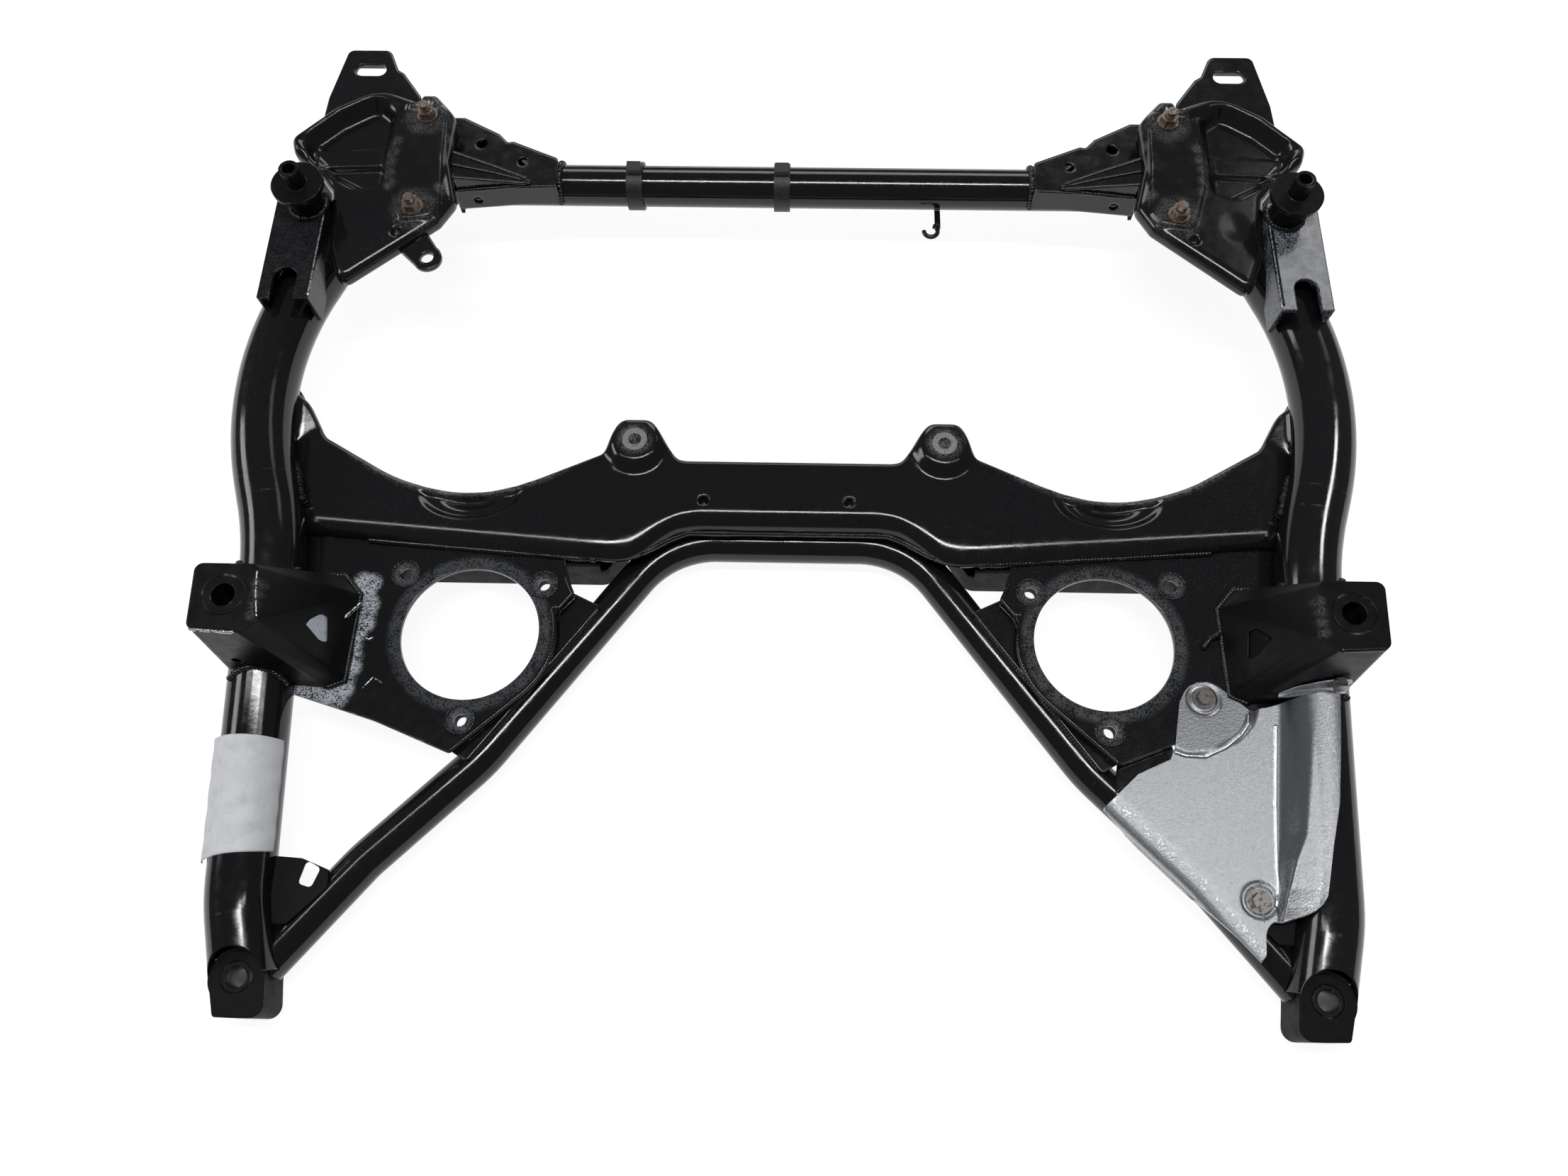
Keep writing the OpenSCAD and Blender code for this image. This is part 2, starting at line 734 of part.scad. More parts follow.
// Heat shield on the right side: a tilted panel rolled over the brace tube and the side rail
shin3 = [shin[0], shin[1], 0];
shin_out = [-shin[1], shin[0]];
last = unit(flat(toe) - flat(ankle));
last_out = [-last[1], last[0]];
shield_tilt = 8;
flange_lean = 7.5;
roll_r = brace_r + shield_gap;
saddle_r = rail_r + 1;
roll_start = flat(knee) + 12 * shin;
roll_end = flat(ankle) + 60 * last;
tab_z = plate_top + gap;
function at(p) = [p[0], p[1], 0];
shield_outline = [
  at(roll_start), at(ankle), at(roll_end), [345, -257, 6], [360, -246, 6], [380, -241, 8],
  [389, -229, 5], [398, -175, 0], [407, -103, 0], [407, -78, 0], [374, -80, 0], [374, -92, 4], [352, -101, 6],
  [336, -112, 8], [306, -127, 10], [288, -133, 8], [258, -149, 6]
];
tab_outline = [
  [301, -124, 6], [330, -117, 14], [346, -99, 10], [331, -77, 10], [322, -71, 9], [308, -74, 9]
];

module shield_panel() {
  intersection() {
    along(solid(knee), shin3) rotate([0, 0, shield_tilt])
      translate([-12, roll_r, -20]) cube([190, shield_sheet, 260]);
    slab(shield_outline, 0, 100);
  }
}

// Place on the panel's top, u out from the brace tube's line and s along it.
module on_panel(u, s) {
  along(solid(knee), shin3) rotate([0, 0, shield_tilt])
    translate([u, roll_r + shield_sheet, s]) rotate([-90, 0, 0]) children();
}

// Place on the flange that stands against the body console's rear wall.
module on_flange() {
  translate([403, -84, 68]) rotate([90 - flange_lean, 0, 0]) translate([0, 17.6, 0]) children();
}

module shield_roll() {
  intersection() {
    difference() {
      bent_bar([knee, ankle, toe], roll_r + shield_sheet);
      bent_bar([knee, ankle, toe], roll_r, 1);
    }
    slab([at(roll_start + 4 * shin_out), at(roll_start - 24 * shin_out),
      at(roll_end - 24 * last_out), at(roll_end + 4 * last_out)],
      brace_z - 4, 100);
  }
}

module shield_saddle() {
  dir = unit(solid(rail_waist) - solid(rail_heel));
  intersection() {
    along(solid(rail_heel) - dir * 20, dir) difference() {
      cylinder(h = 200, r = saddle_r + shield_sheet);
      translate([0, 0, -1]) cylinder(h = 202, r = saddle_r);
    }
    slab(shield_outline, 0, 120);
    difference() {
      slab(shield_outline, 0, 120);
      along(solid(knee), shin3) rotate([0, 0, shield_tilt])
        translate([-12, roll_r - 100, -20]) cube([190, 100, 260]);
    }
  }
}

module heat_shield() {
  dir = unit(solid(rail_waist) - solid(rail_heel));
  difference() {
    union() {
      shield_panel();
      shield_roll();
      shield_saddle();
      slab(tab_outline, tab_z, tab_z + shield_sheet);
      translate([380, -84, 68]) rotate([-flange_lean, 0, 0]) cube([40, shield_sheet, 25]);
    }
    along(solid(rail_heel) - dir * 30, dir) cylinder(h = 220, r = saddle_r);
    post(317, -85, 0, 100, 3.2);
    on_panel(13.5, 146) translate([0, 0, -20]) cylinder(h = 40, r = 3.2);
    on_flange() translate([0, 0, -20]) cylinder(h = 40, r = 3.2);
    slab(inset(plate_outline, -gap), 0, tab_z);
    body_frustum(-gap);
  }
}

module shield_bolt() {
  translate([0, 0, 0.05]) cylinder(h = 1.4, r = 8.5);
  translate([0, 0, 0.05]) cylinder(h = 5.5, r = 6, $fn = 6);
  translate([0, 0, -8]) cylinder(h = 9, r = 3);
}

module heat_shield_bolts() {
  translate([317, -85, tab_z + shield_sheet]) shield_bolt();
  on_panel(13.5, 146) shield_bolt();
  on_flange() shield_bolt();
}

module on_side(side) {
  translate([0, frame_y, 0]) mirror([side < 0 ? 1 : 0, 0, 0]) children();
}

module black() {
  color([0.06, 0.06, 0.065]) children();
}

black() on_side(-1) side_rail();  // left_side_rail
black() on_side(1) side_rail();  // right_side_rail
black() on_side(1) crossmember_upper();  // crossmember_upper_shell
black() on_side(1) crossmember_lower();  // crossmember_lower_shell
black() on_side(1) brace_tube();  // rear_brace_tube
black() on_side(1) front_tube();  // front_cross_tube
black() on_side(-1) arm_plate(false);  // left_arm_plate
black() on_side(1) arm_plate(true);  // right_arm_plate
black() on_side(-1) plate_weld_nuts();  // left_plate_weld_nuts
black() on_side(1) plate_weld_nuts();  // right_plate_weld_nuts
black() on_side(-1) body_console();  // left_body_console
black() on_side(1) body_console();  // right_body_console
black() on_side(-1) body_sleeve();  // left_body_sleeve
black() on_side(1) body_sleeve();  // right_body_sleeve
black() on_side(-1) rear_foot();  // left_rear_foot
black() on_side(1) rear_foot();  // right_rear_foot
black() on_side(-1) foot_sleeve();  // left_foot_sleeve
black() on_side(1) foot_sleeve();  // right_foot_sleeve
black() on_side(-1) slot_bracket();  // left_slot_bracket
black() on_side(1) slot_bracket();  // right_slot_bracket
black() on_side(-1) front_sleeve();  // left_front_sleeve
black() on_side(1) front_sleeve();  // right_front_sleeve
black() on_side(-1) engine_console();  // left_engine_console
black() on_side(1) engine_console();  // right_engine_console
black() on_side(-1) console_base();  // left_console_base
black() on_side(1) console_base();  // right_console_base
black() on_side(-1) tube_gusset();  // left_tube_gusset
black() on_side(1) tube_gusset();  // right_tube_gusset
black() on_side(-1) gusset_rib();  // left_gusset_rib
black() on_side(1) gusset_rib();  // right_gusset_rib
black() on_side(-1) front_horn();  // left_front_horn
black() on_side(1) front_horn();  // right_front_horn
color([0.4, 0.33, 0.28]) on_side(-1) engine_studs();  // left_engine_studs
color([0.4, 0.33, 0.28]) on_side(1) engine_studs();  // right_engine_studs
color([0.4, 0.33, 0.28]) on_side(-1) engine_nuts();  // left_engine_nuts
color([0.4, 0.33, 0.28]) on_side(1) engine_nuts();  // right_engine_nuts
color([0.5, 0.5, 0.5]) on_side(-1) rack_sleeve();  // left_rack_sleeve
color([0.5, 0.5, 0.5]) on_side(1) rack_sleeve();  // right_rack_sleeve
black() on_side(-1) shield_tab();  // left_shield_tab
black() on_side(1) shield_tab();  // right_shield_tab
black() on_side(-1) console_tab();  // left_console_tab
black() on_side(1) tube_hook();
color([0.1, 0.1, 0.1]) on_side(1) tube_clip(-141);  // left_tube_clip
color([0.1, 0.1, 0.1]) on_side(1) tube_clip(-11.4);  // middle_tube_clip
color([0.75, 0.75, 0.75]) on_side(1) heat_shield();
color([0.5, 0.4, 0.35]) on_side(1) heat_shield_bolts();
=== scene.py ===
import bpy
import numpy as np
from mathutils import Matrix


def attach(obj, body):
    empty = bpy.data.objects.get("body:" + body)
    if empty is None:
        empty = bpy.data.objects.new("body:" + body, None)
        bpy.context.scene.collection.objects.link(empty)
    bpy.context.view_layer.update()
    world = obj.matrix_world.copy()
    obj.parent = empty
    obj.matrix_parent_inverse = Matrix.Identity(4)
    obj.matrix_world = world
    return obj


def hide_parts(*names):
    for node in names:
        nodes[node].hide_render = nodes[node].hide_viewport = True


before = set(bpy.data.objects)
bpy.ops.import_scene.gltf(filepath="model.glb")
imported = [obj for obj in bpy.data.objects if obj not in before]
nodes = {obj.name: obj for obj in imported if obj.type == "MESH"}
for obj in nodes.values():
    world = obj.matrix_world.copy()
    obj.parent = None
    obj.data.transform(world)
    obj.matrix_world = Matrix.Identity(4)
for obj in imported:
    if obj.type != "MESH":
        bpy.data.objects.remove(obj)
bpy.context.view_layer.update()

# Camera
# The carrier is seen from above and a little behind, lying top side up with its front
# away from the viewer. The eye sits over the rear brace, about 0.9 m up, with a wide lens.
eye = np.array([0.013819, -0.427046, 0.909680])
elevation, heading, roll = np.radians([68.7119, -2.6885, -1.5666])
ahead = np.array([np.sin(heading) * np.cos(elevation), np.cos(heading) * np.cos(elevation),
                  -np.sin(elevation)])
level = np.array([np.cos(heading), -np.sin(heading), 0.0])
upward = np.cross(level, ahead)
right = level * np.cos(roll) + upward * np.sin(roll)
top = upward * np.cos(roll) - level * np.sin(roll)
sensor_mm, focal_pixels, frame_pixels = 36.0, 1662.0, 2212.0
lens = bpy.data.cameras.new("studio_camera")
lens.sensor_width = sensor_mm
lens.lens = sensor_mm * focal_pixels / frame_pixels
camera = bpy.data.objects.new("studio_camera", lens)
pose = np.eye(4)
pose[:3, 0], pose[:3, 1], pose[:3, 2], pose[:3, 3] = right, top, -ahead, eye
camera.matrix_world = Matrix(pose.tolist())
bpy.context.collection.objects.link(camera)
bpy.context.scene.camera = camera

# Side rails
# Two bent round steel tubes, dipped in glossy black paint after welding. The paint is thick
# and slightly wavy, dusty in patches and rubbed grey where other parts were bolted on.
datum = -0.0905
mm = 0.001


def link(tree, out, *ins):
    """Join one output socket to each of the given input sockets."""
    for one in ins:
        tree.links.new(out, one)


def math_node(tree, operation, a, b=None, clamp=False):
    """One Math node; a and b are sockets or plain numbers."""
    node = tree.nodes.new("ShaderNodeMath")
    node.operation = operation
    node.use_clamp = clamp
    for value, socket in zip((a, b), node.inputs):
        if isinstance(value, (int, float)):
            socket.default_value = value
        elif value is not None:
            tree.links.new(value, socket)
    return node.outputs[0]


def ramp(tree, value, low, high, to_low=0.0, to_high=1.0):
    """Smooth step of a socket's value from low to high."""
    node = tree.nodes.new("ShaderNodeMapRange")
    node.interpolation_type = "SMOOTHSTEP"
    tree.links.new(value, node.inputs["Value"])
    for name, number in zip(("From Min", "From Max", "To Min", "To Max"), (low, high, to_low, to_high)):
        node.inputs[name].default_value = number
    return node.outputs["Result"]


def noise(tree, where, scale, detail=3.0, rough=0.55):
    """Noise of a given scale, per metre, on the piece's own coordinates."""
    node = tree.nodes.new("ShaderNodeTexNoise")
    node.inputs["Scale"].default_value = scale
    node.inputs["Detail"].default_value = detail
    node.inputs["Roughness"].default_value = rough
    tree.links.new(where, node.inputs["Vector"])
    return node.outputs["Fac"]


def blend(tree, amount, first, second):
    """Colour mix of two colours, each a socket or a plain colour."""
    node = tree.nodes.new("ShaderNodeMix")
    node.data_type = "RGBA"
    for value, name in ((amount, "Factor"), (first, "A"), (second, "B")):
        socket = [s for s in node.inputs if s.name == name and (s.type == "RGBA" or name == "Factor")][0]
        if isinstance(value, tuple):
            socket.default_value = (*value, 1.0)
        elif isinstance(value, (int, float)):
            socket.default_value = value
        else:
            tree.links.new(value, socket)
    return [s for s in node.outputs if s.type == "RGBA"][0]


def dip_coat(name, dust=0.25, worn=(), chips_and_sheen=0.5, edge=0.0016, gloss=(0.07, 0.17), shine=0.5,
             bare=(0.2, 0.2, 0.205), grit=(0.56, 0.86)):
    """Black paint, its roughness between the two gloss values. Dust greys it in fine flecks inside broad
    patches. Each worn place is x, y, inner and outer radius in millimetres from the datum, and an amount;
    it is rubbed to the bare colour, broken up where noise lies between the grit values. Edges are rounded
    in the shading, and where noise is high they take the bare colour too: chipped paint, and a painted
    highlight along the edge."""
    material = bpy.data.materials.new(name)
    material.use_nodes = True
    tree = material.node_tree
    surface = tree.nodes["Principled BSDF"]
    where = tree.nodes.new("ShaderNodeTexCoord").outputs["Object"]
    fine = noise(tree, where, 620.0, 4.0, 0.7)
    middle = noise(tree, where, 90.0, 4.0, 0.6)
    broad = noise(tree, where, 9.0, 2.0)
    fleck = math_node(tree, "MULTIPLY", ramp(tree, fine, 0.52, 0.72), ramp(tree, broad, 0.42, 0.66))
    fleck = math_node(tree, "MULTIPLY", fleck, dust)
    rounding = tree.nodes.new("ShaderNodeBevel")
    rounding.samples = 8
    rounding.inputs["Radius"].default_value = edge
    facing = tree.nodes.new("ShaderNodeNewGeometry")
    match = tree.nodes.new("ShaderNodeVectorMath")
    match.operation = "DOT_PRODUCT"
    link(tree, rounding.outputs[0], match.inputs[0])
    link(tree, facing.outputs["True Normal"], match.inputs[1])
    # Edge mask from the rounded shading: where noise allows, the edge takes the bare colour, as chipped paint
    # and as a painted highlight along the edge.
    at_edge = ramp(tree, match.outputs["Value"], 0.99, 0.9)
    chipped_and_sheen = math_node(tree, "MULTIPLY", at_edge, ramp(tree, middle, 0.55, 0.7))
    bare_and_sheen = math_node(tree, "MULTIPLY", chipped_and_sheen, chips_and_sheen)
    if worn:
        split = tree.nodes.new("ShaderNodeSeparateXYZ")
        link(tree, where, split.inputs[0])
        plan = tree.nodes.new("ShaderNodeCombineXYZ")
        link(tree, split.outputs[0], plan.inputs[0])
        link(tree, split.outputs[1], plan.inputs[1])
        broken = ramp(tree, math_node(tree, "ADD", fine, math_node(tree, "MULTIPLY", middle, 0.4)), *grit)
        for x, y, inner, outer, amount in worn:
            reach = tree.nodes.new("ShaderNodeVectorMath")
            reach.operation = "DISTANCE"
            link(tree, plan.outputs[0], reach.inputs[0])
            reach.inputs[1].default_value = (x * mm, y * mm + datum, 0.0)
            ring = ramp(tree, reach.outputs["Value"], outer * mm, inner * mm, 0.0, amount)
            bare_and_sheen = math_node(tree, "MAXIMUM", bare_and_sheen, math_node(tree, "MULTIPLY", ring, broken))
    colour = blend(tree, fleck, (0.0065, 0.0065, 0.007), (0.12, 0.13, 0.15))
    colour = blend(tree, bare_and_sheen, colour, bare)
    link(tree, colour, surface.inputs["Base Color"])
    dulled = math_node(tree, "MULTIPLY", bare_and_sheen, 0.25)
    rough = math_node(tree, "ADD", ramp(tree, middle, 0.3, 0.8, *gloss), dulled)
    link(tree, rough, surface.inputs["Roughness"])
    wave = tree.nodes.new("ShaderNodeBump")
    wave.inputs["Strength"].default_value = 0.16
    wave.inputs["Distance"].default_value = 0.0006
    grain = math_node(tree, "MULTIPLY", fine, 0.25)
    link(tree, math_node(tree, "ADD", noise(tree, where, 55.0, 2.0), grain), wave.inputs["Height"])
    link(tree, rounding.outputs[0], wave.inputs["Normal"])
    link(tree, wave.outputs[0], surface.inputs["Normal"])
    surface.inputs["Specular IOR Level"].default_value = shine
    return material


def dress(material, *names):
    """Give CAD nodes one material."""
    for name in names:
        nodes[name].data.materials.clear()
        nodes[name].data.materials.append(material)


rail_paint = dip_coat("rail_paint", dust=0.12, chips_and_sheen=0.35)
dress(rail_paint, "left_side_rail", "right_side_rail")

# Tubes
# A bent brace tube behind the crossmember and a thin tube across the front with a small wire
# hook, in the same coat as the rails.
tube_paint = dip_coat("tube_paint", dust=0.08, chips_and_sheen=0.2)
dress(tube_paint, "rear_brace_tube", "front_cross_tube", "tube_hook")

# Crossmember
# A pressed upper shell welded on a lower tray. The press rounded its rear edge, raised two ears
# for the steering rack and sank a hollow over each drive shaft, where the edge is rubbed bare.
ear_x, ear_y = 125.5, 120.0
shaft_x, shaft_y, shaft_radius = 261.4, 224.5, 148.0
ears = [(s * ear_x, ear_y, 9.0, 17.0, 0.7) for s in (-1, 1)]
scoops = [(s * shaft_x, shaft_y, shaft_radius + 0.5, shaft_radius + 8.0, 0.75) for s in (-1, 1)]
shell_paint = dip_coat("shell_paint", dust=0.14, worn=ears + scoops, chips_and_sheen=0.6, edge=0.003)
dress(shell_paint, "crossmember_upper_shell")
under_paint = dip_coat("under_paint", dust=0.05, chips_and_sheen=0.3, gloss=(0.5, 0.65), shine=0.12)
dress(under_paint, "crossmember_lower_shell")


def step(value, low, high):
    """Smooth step from 0 at low to 1 at high."""
    part = np.clip((value - low) / (high - low), 0.0, 1.0)
    return part * part * (3.0 - 2.0 * part)


def grid_piece(name, points, material, thick=0.0, close=False, hub=False):
    """Piece from a grid of points in millimetres from the datum: rows by columns by three.
    Each four neighbours make one face; close joins the last column to the first, and hub makes one
    point of the first row, with a fan of triangles around it."""
    points = np.asarray(points, float) * mm
    points[..., 1] += datum
    rows, columns = points.shape[:2]
    first = 1 if hub else 0
    index = np.arange(rows * columns).reshape(rows, columns) - first * (columns - 1)
    if close:
        index = np.concatenate([index, index[:, :1]], axis=1)
    body = index[first:]
    faces = np.stack([body[:-1, :-1], body[:-1, 1:], body[1:, 1:], body[1:, :-1]], -1).reshape(-1, 4).tolist()
    if hub:
        fan = np.stack([np.zeros_like(index[1, 1:]), index[1, 1:], index[1, :-1]], -1)
        faces += fan.tolist()
    mesh = bpy.data.meshes.new(name)
    mesh.from_pydata(points.reshape(-1, 3)[first * (columns - 1):].tolist(), [], faces)
    mesh.polygons.foreach_set("use_smooth", np.ones(len(faces), bool))
    mesh.materials.append(material)
    piece = bpy.data.objects.new(name, mesh)
    bpy.context.collection.objects.link(piece)
    if thick:
        sheet = piece.modifiers.new("sheet", "SOLIDIFY")
        sheet.thickness = thick * mm
        sheet.offset = -1.0
    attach(piece, "root")
    return piece


def soften(line, width):
    """Moving average of a line over a number of samples, with its ends kept."""
    count = 2 * width + 1
    return np.convolve(np.pad(line, width, mode="edge"), np.ones(count) / count, mode="valid")


shell_top = 56.0
shell_holes = ((-68.0, 70.3), (49.0, 70.3))


def shell_relief(x, y):
    """Height of the shell's top over a place: level, with an ear 8 higher inside 16 mm that slopes to the
    level at 29 mm, a hollow 9 deep in a half moon behind each shaft's lip, and a small pit for each hole.
    At each end a corner is bent up beyond a crease, more at the left, and curls up against the rail."""
    out = np.abs(x)
    ear = 1.0 - step(np.hypot(out - ear_x, y - ear_y), 16.0, 29.0)
    reach = np.hypot((out - 257.0) / 46.0, (y - 78.0) / 29.0)
    hollow = 0.6 * (1.0 - step(reach, 0.3, 0.72)) + 0.4 * (1.0 - step(reach, 0.78, 1.0))
    lip = step(shaft_radius - np.hypot(out - shaft_x, y - shaft_y), -9.0, -1.0)
    pits = sum(1.0 - step(np.hypot(x - hole_x, y - hole_y), 2.4, 4.2) for hole_x, hole_y in shell_holes)
    corner = np.clip((y - 124.5) * 0.85 + (out - 394.5) * 0.52, 0.0, None)
    bend = np.where(x < 0.0, 0.3, 0.27)
    curl = 0.9 * np.clip(out - 402.0, 0.0, None) * step(y, 112.0, 135.0)
    return shell_top + curl + 8.0 * ear - 9.0 * hollow * (1.0 - lip) - 9.0 * pits + bend * corner


shell_end = 412.0
shell_sheet = 2.6
front_round = 4.0
tray_seam = 28.2
shell_x = np.linspace(-shell_end, shell_end, 570)
out_x = np.abs(shell_x)
shell_rear = soften(np.interp(out_x, [0, 80, 131, 388, 412], [50, 50, 30.5, 50.5, 52.4]), 9)
shaft = shaft_y - np.sqrt(np.clip(shaft_radius ** 2 - (out_x - shaft_x) ** 2, 0.0, None))
shell_front = np.interp(out_x, [0, 85, 92, 110, 114, 137, 141, 151, 199.5, 335.1, 383, 398, 412],
                        [106.5, 106.5, 108.5, 135.5, 139.5, 139.5, 136, 112.5, 90.1, 96.2, 124, 152, 161])
shell_front = soften(np.where((out_x > 199.5) & (out_x < 335.1), shaft, shell_front), 2)
outside = step(out_x, 84.0, 128.0)
skirt_wide = 3.0 + 9.0 * outside
skirt_low = 33.5 + 11.9 * outside
roll_over = 14.0 - 6.0 * step(out_x, 105.0, 160.0)
fall = np.linspace(0.5 * np.pi, 0.0, 22)[:, None]
rear_y = shell_rear + roll_over - (roll_over + skirt_wide) * np.sin(fall)
rear_z = skirt_low + (shell_top - skirt_low) * np.cos(fall)
level_share = np.linspace(0.0, 1.0, 56)[1:, None]
level_y = (shell_rear + roll_over) * (1 - level_share) + (shell_front - front_round) * level_share
level_z = shell_relief(np.broadcast_to(shell_x, level_y.shape), level_y)
round_over = np.linspace(0.0, 0.5 * np.pi, 8)[1:, None]
front_y = np.concatenate([shell_front - front_round + front_round * np.sin(round_over), shell_front[None]])
wall_low = tray_seam + (level_z[-1] - 5.0 - tray_seam) * step(out_x, 372.0, 386.0)
front_z = np.concatenate([level_z[-1] - front_round + front_round * np.cos(round_over), wall_low[None]])
shell_y = np.concatenate([rear_y, level_y, front_y])
shell_z = np.concatenate([rear_z, level_z, front_z])
shell_points = np.stack([np.broadcast_to(shell_x, shell_y.shape), shell_y, shell_z], -1)
upper_shell = grid_piece("upper_shell", shell_points, shell_paint, shell_sheet)
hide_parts("crossmember_upper_shell")

# Arm plates
# Flat pressings with a large bush opening. The bush bracket has rubbed a grey band around the
# opening and around each bolt hole; the left plate is rough and speckled beside the body console.
bush_x, bush_y = 246.0, -41.7
plate_holes = ((302.4, 7.0), (191.8, -0.5), (245.2, -111.4))
speckled = [(335.4, -0.9), (328.4, -1.7), (331.4, -10.0), (327.5, -19.1), (329.0, -27.3), (329.0, -35.4),
            (334.0, -44.0), (336.0, -53.4), (334.5, -62.2), (334.0, -71.0), (337.0, -79.8), (337.5, -88.4),
            (341.0, -96.5), (349.6, -94.5), (360.0, -92.8), (368.5, -92.0)]
for side, s, colour in (("left", -1, (0.5, 0.53, 0.58)), ("right", 1, (0.26, 0.27, 0.28))):
    faint = 0.5 if side == "left" else 1.0
    plate_worn = [(s * bush_x, bush_y, 60.0, 66.5, 0.24 * faint)]
    plate_worn += [(s * x, y, 7.0, 12.5, 0.32 * faint) for x, y in plate_holes]
    if side == "left":
        plate_worn += [(-x, y, 4.0, 10.5, 1.0) for x, y in speckled]
    plate_paint = dip_coat(f"{side}_plate_paint", dust=0.22, worn=plate_worn, chips_and_sheen=0.5, bare=colour,
                           grit=(0.58, 0.76))
    dress(plate_paint, f"{side}_arm_plate")
    dress(under_paint, f"{side}_plate_weld_nuts")

# Body consoles, feet and front brackets
# Pressed boxes welded on the rails, duller than the tubes and chipped at their edges, where a painted
#  highlight also lightens the edge. The slotted brackets in front are greyed over their tops, the right one
#  far more than the left.
mirrors = {"left": -1.0, "right": 1.0}
cap_worn = [(s * 374.5, y, 1.5, 6.0, 0.4) for s in (-1, 1) for y in (-62.0, -54.0, -46.0, -38.0)]
bracket_paint = dip_coat("bracket_paint", dust=0.12, worn=cap_worn, chips_and_sheen=1.0, gloss=(0.28, 0.46), shine=0.14)
for piece in ("body_console", "body_sleeve", "foot_sleeve", "front_sleeve"):
    dress(bracket_paint, *[f"{side}_{piece}" for side in mirrors])
dress(under_paint, "left_rear_foot", "right_rear_foot", "left_shield_tab", "right_shield_tab")
for side, s, amount in (("left", -1, 0.04), ("right", 1, 0.75)):
    # Each top is greyed in a broad ring around its middle, the right one far more than the left.
    slot_greying = [(s * 411.0, 262.0, 48.0, 62.0, amount)]
    slot_paint = dip_coat(f"{side}_slot_paint", dust=0.3, worn=slot_greying, chips_and_sheen=1.0, gloss=(0.14, 0.3),
                          shine=0.35, bare=(0.3, 0.32, 0.36))
    dress(slot_paint, f"{side}_slot_bracket")

# Engine consoles, gussets and horns
# Deep pressings that hold the front tube, with a rolled rim, a hollow with a raised rib, and a pad
# under the engine mount that is rubbed to a dull grey around the studs.
stud_x, stud_ys = 317.5, (308.5, 405.5)
scuffs = ((341.0, 334.0), (342.5, 345.0), (343.0, 356.0), (342.5, 367.0), (341.0, 378.0), (296.0, 385.0),
          (297.0, 330.0))
pad_worn = []
for s in (-1, 1):
    pad_worn += [(s * stud_x, y, 15.0, 24.0, 0.34) for y in stud_ys]
    pad_worn += [(s * x, y, 2.0, 8.0, 0.4) for x, y in scuffs]
console_paint = dip_coat("console_paint", dust=0.16, worn=pad_worn, chips_and_sheen=0.8, edge=0.003, gloss=(0.08, 0.2))
dress(under_paint, "left_console_base", "right_console_base")
for piece in ("engine_console", "tube_gusset", "gusset_rib", "front_horn"):
    dress(console_paint, *[f"{side}_{piece}" for side in mirrors])
dress(console_paint, "left_console_tab")


def round_corners(outline):
    """Closed outline with each corner (x, y, radius) replaced by eight points of a curve that leaves one
    leg and joins the next at the radius's own tangent length."""
    outline = np.asarray(outline, float)
    corner = outline[:, :2]
    back, on = np.roll(corner, 1, axis=0) - corner, np.roll(corner, -1, axis=0) - corner
    back_length, on_length = np.linalg.norm(back, axis=1), np.linalg.norm(on, axis=1)
    half = 0.5 * np.arccos(np.clip((back * on).sum(1) / (back_length * on_length), -1.0, 1.0))
    tangent = np.minimum(outline[:, 2] / np.tan(half), 0.48 * np.minimum(back_length, on_length)) + 0.01
    start = corner + back / back_length[:, None] * tangent[:, None]
    stop = corner + on / on_length[:, None] * tangent[:, None]
    t = np.linspace(0.0, 1.0, 8)[None, :, None]
    curve = start[:, None] * (1 - t) ** 2 + 2 * corner[:, None] * t * (1 - t) + stop[:, None] * t ** 2
    return curve.reshape(-1, 2)


def depth_inside(x, y, outline):
    """Distance from places to a closed outline, positive inside: the nearest of its legs, with the sign
    from how often a ray to the right crosses the outline."""
    nearest = np.full(np.shape(x), np.inf)
    inside = np.zeros(np.shape(x), bool)
    for (ax, ay), (bx, by) in zip(outline, np.roll(outline, -1, axis=0)):
        leg_x, leg_y = bx - ax, by - ay
        along = np.clip(((x - ax) * leg_x + (y - ay) * leg_y) / (leg_x ** 2 + leg_y ** 2), 0.0, 1.0)
        nearest = np.minimum(nearest, np.hypot(x - ax - along * leg_x, y - ay - along * leg_y))
        if leg_y:
            inside ^= ((ay > y) != (by > y)) & (x < leg_x * (y - ay) / leg_y + ax)
    return np.where(inside, nearest, -nearest)


console_line = round_corners([
    (285, 321, 14), (297, 299, 6), (366, 240, 8), (374, 243, 6), (385, 272, 0), (387, 300, 0), (392, 330, 10),
    (408, 352, 10), (428, 366, 8), (433, 381, 10), (400.5, 414.5, 20), (364.6, 437, 60), (328, 422, 3),
    (326, 430, 4), (313, 430, 5), (296, 410, 5), (296, 364, 8)])
dish_line = round_corners([(349, 336, 10), (368, 329, 14), (398, 346, 10), (417, 366, 8), (419, 384, 8),
                           (396, 407, 20), (366, 427, 16), (347, 412, 12)])
pad_line = round_corners([(296, 312, 10), (304, 300, 8), (330, 296, 10), (344, 341, 30), (345, 376, 30),
                          (336, 419, 8), (302, 414, 8)])
rib_line = round_corners([(340, 356, 1), (408, 353, 6), (416, 376, 6), (340, 380, 1)])
console_top = 110.0
edge_round = 8.0


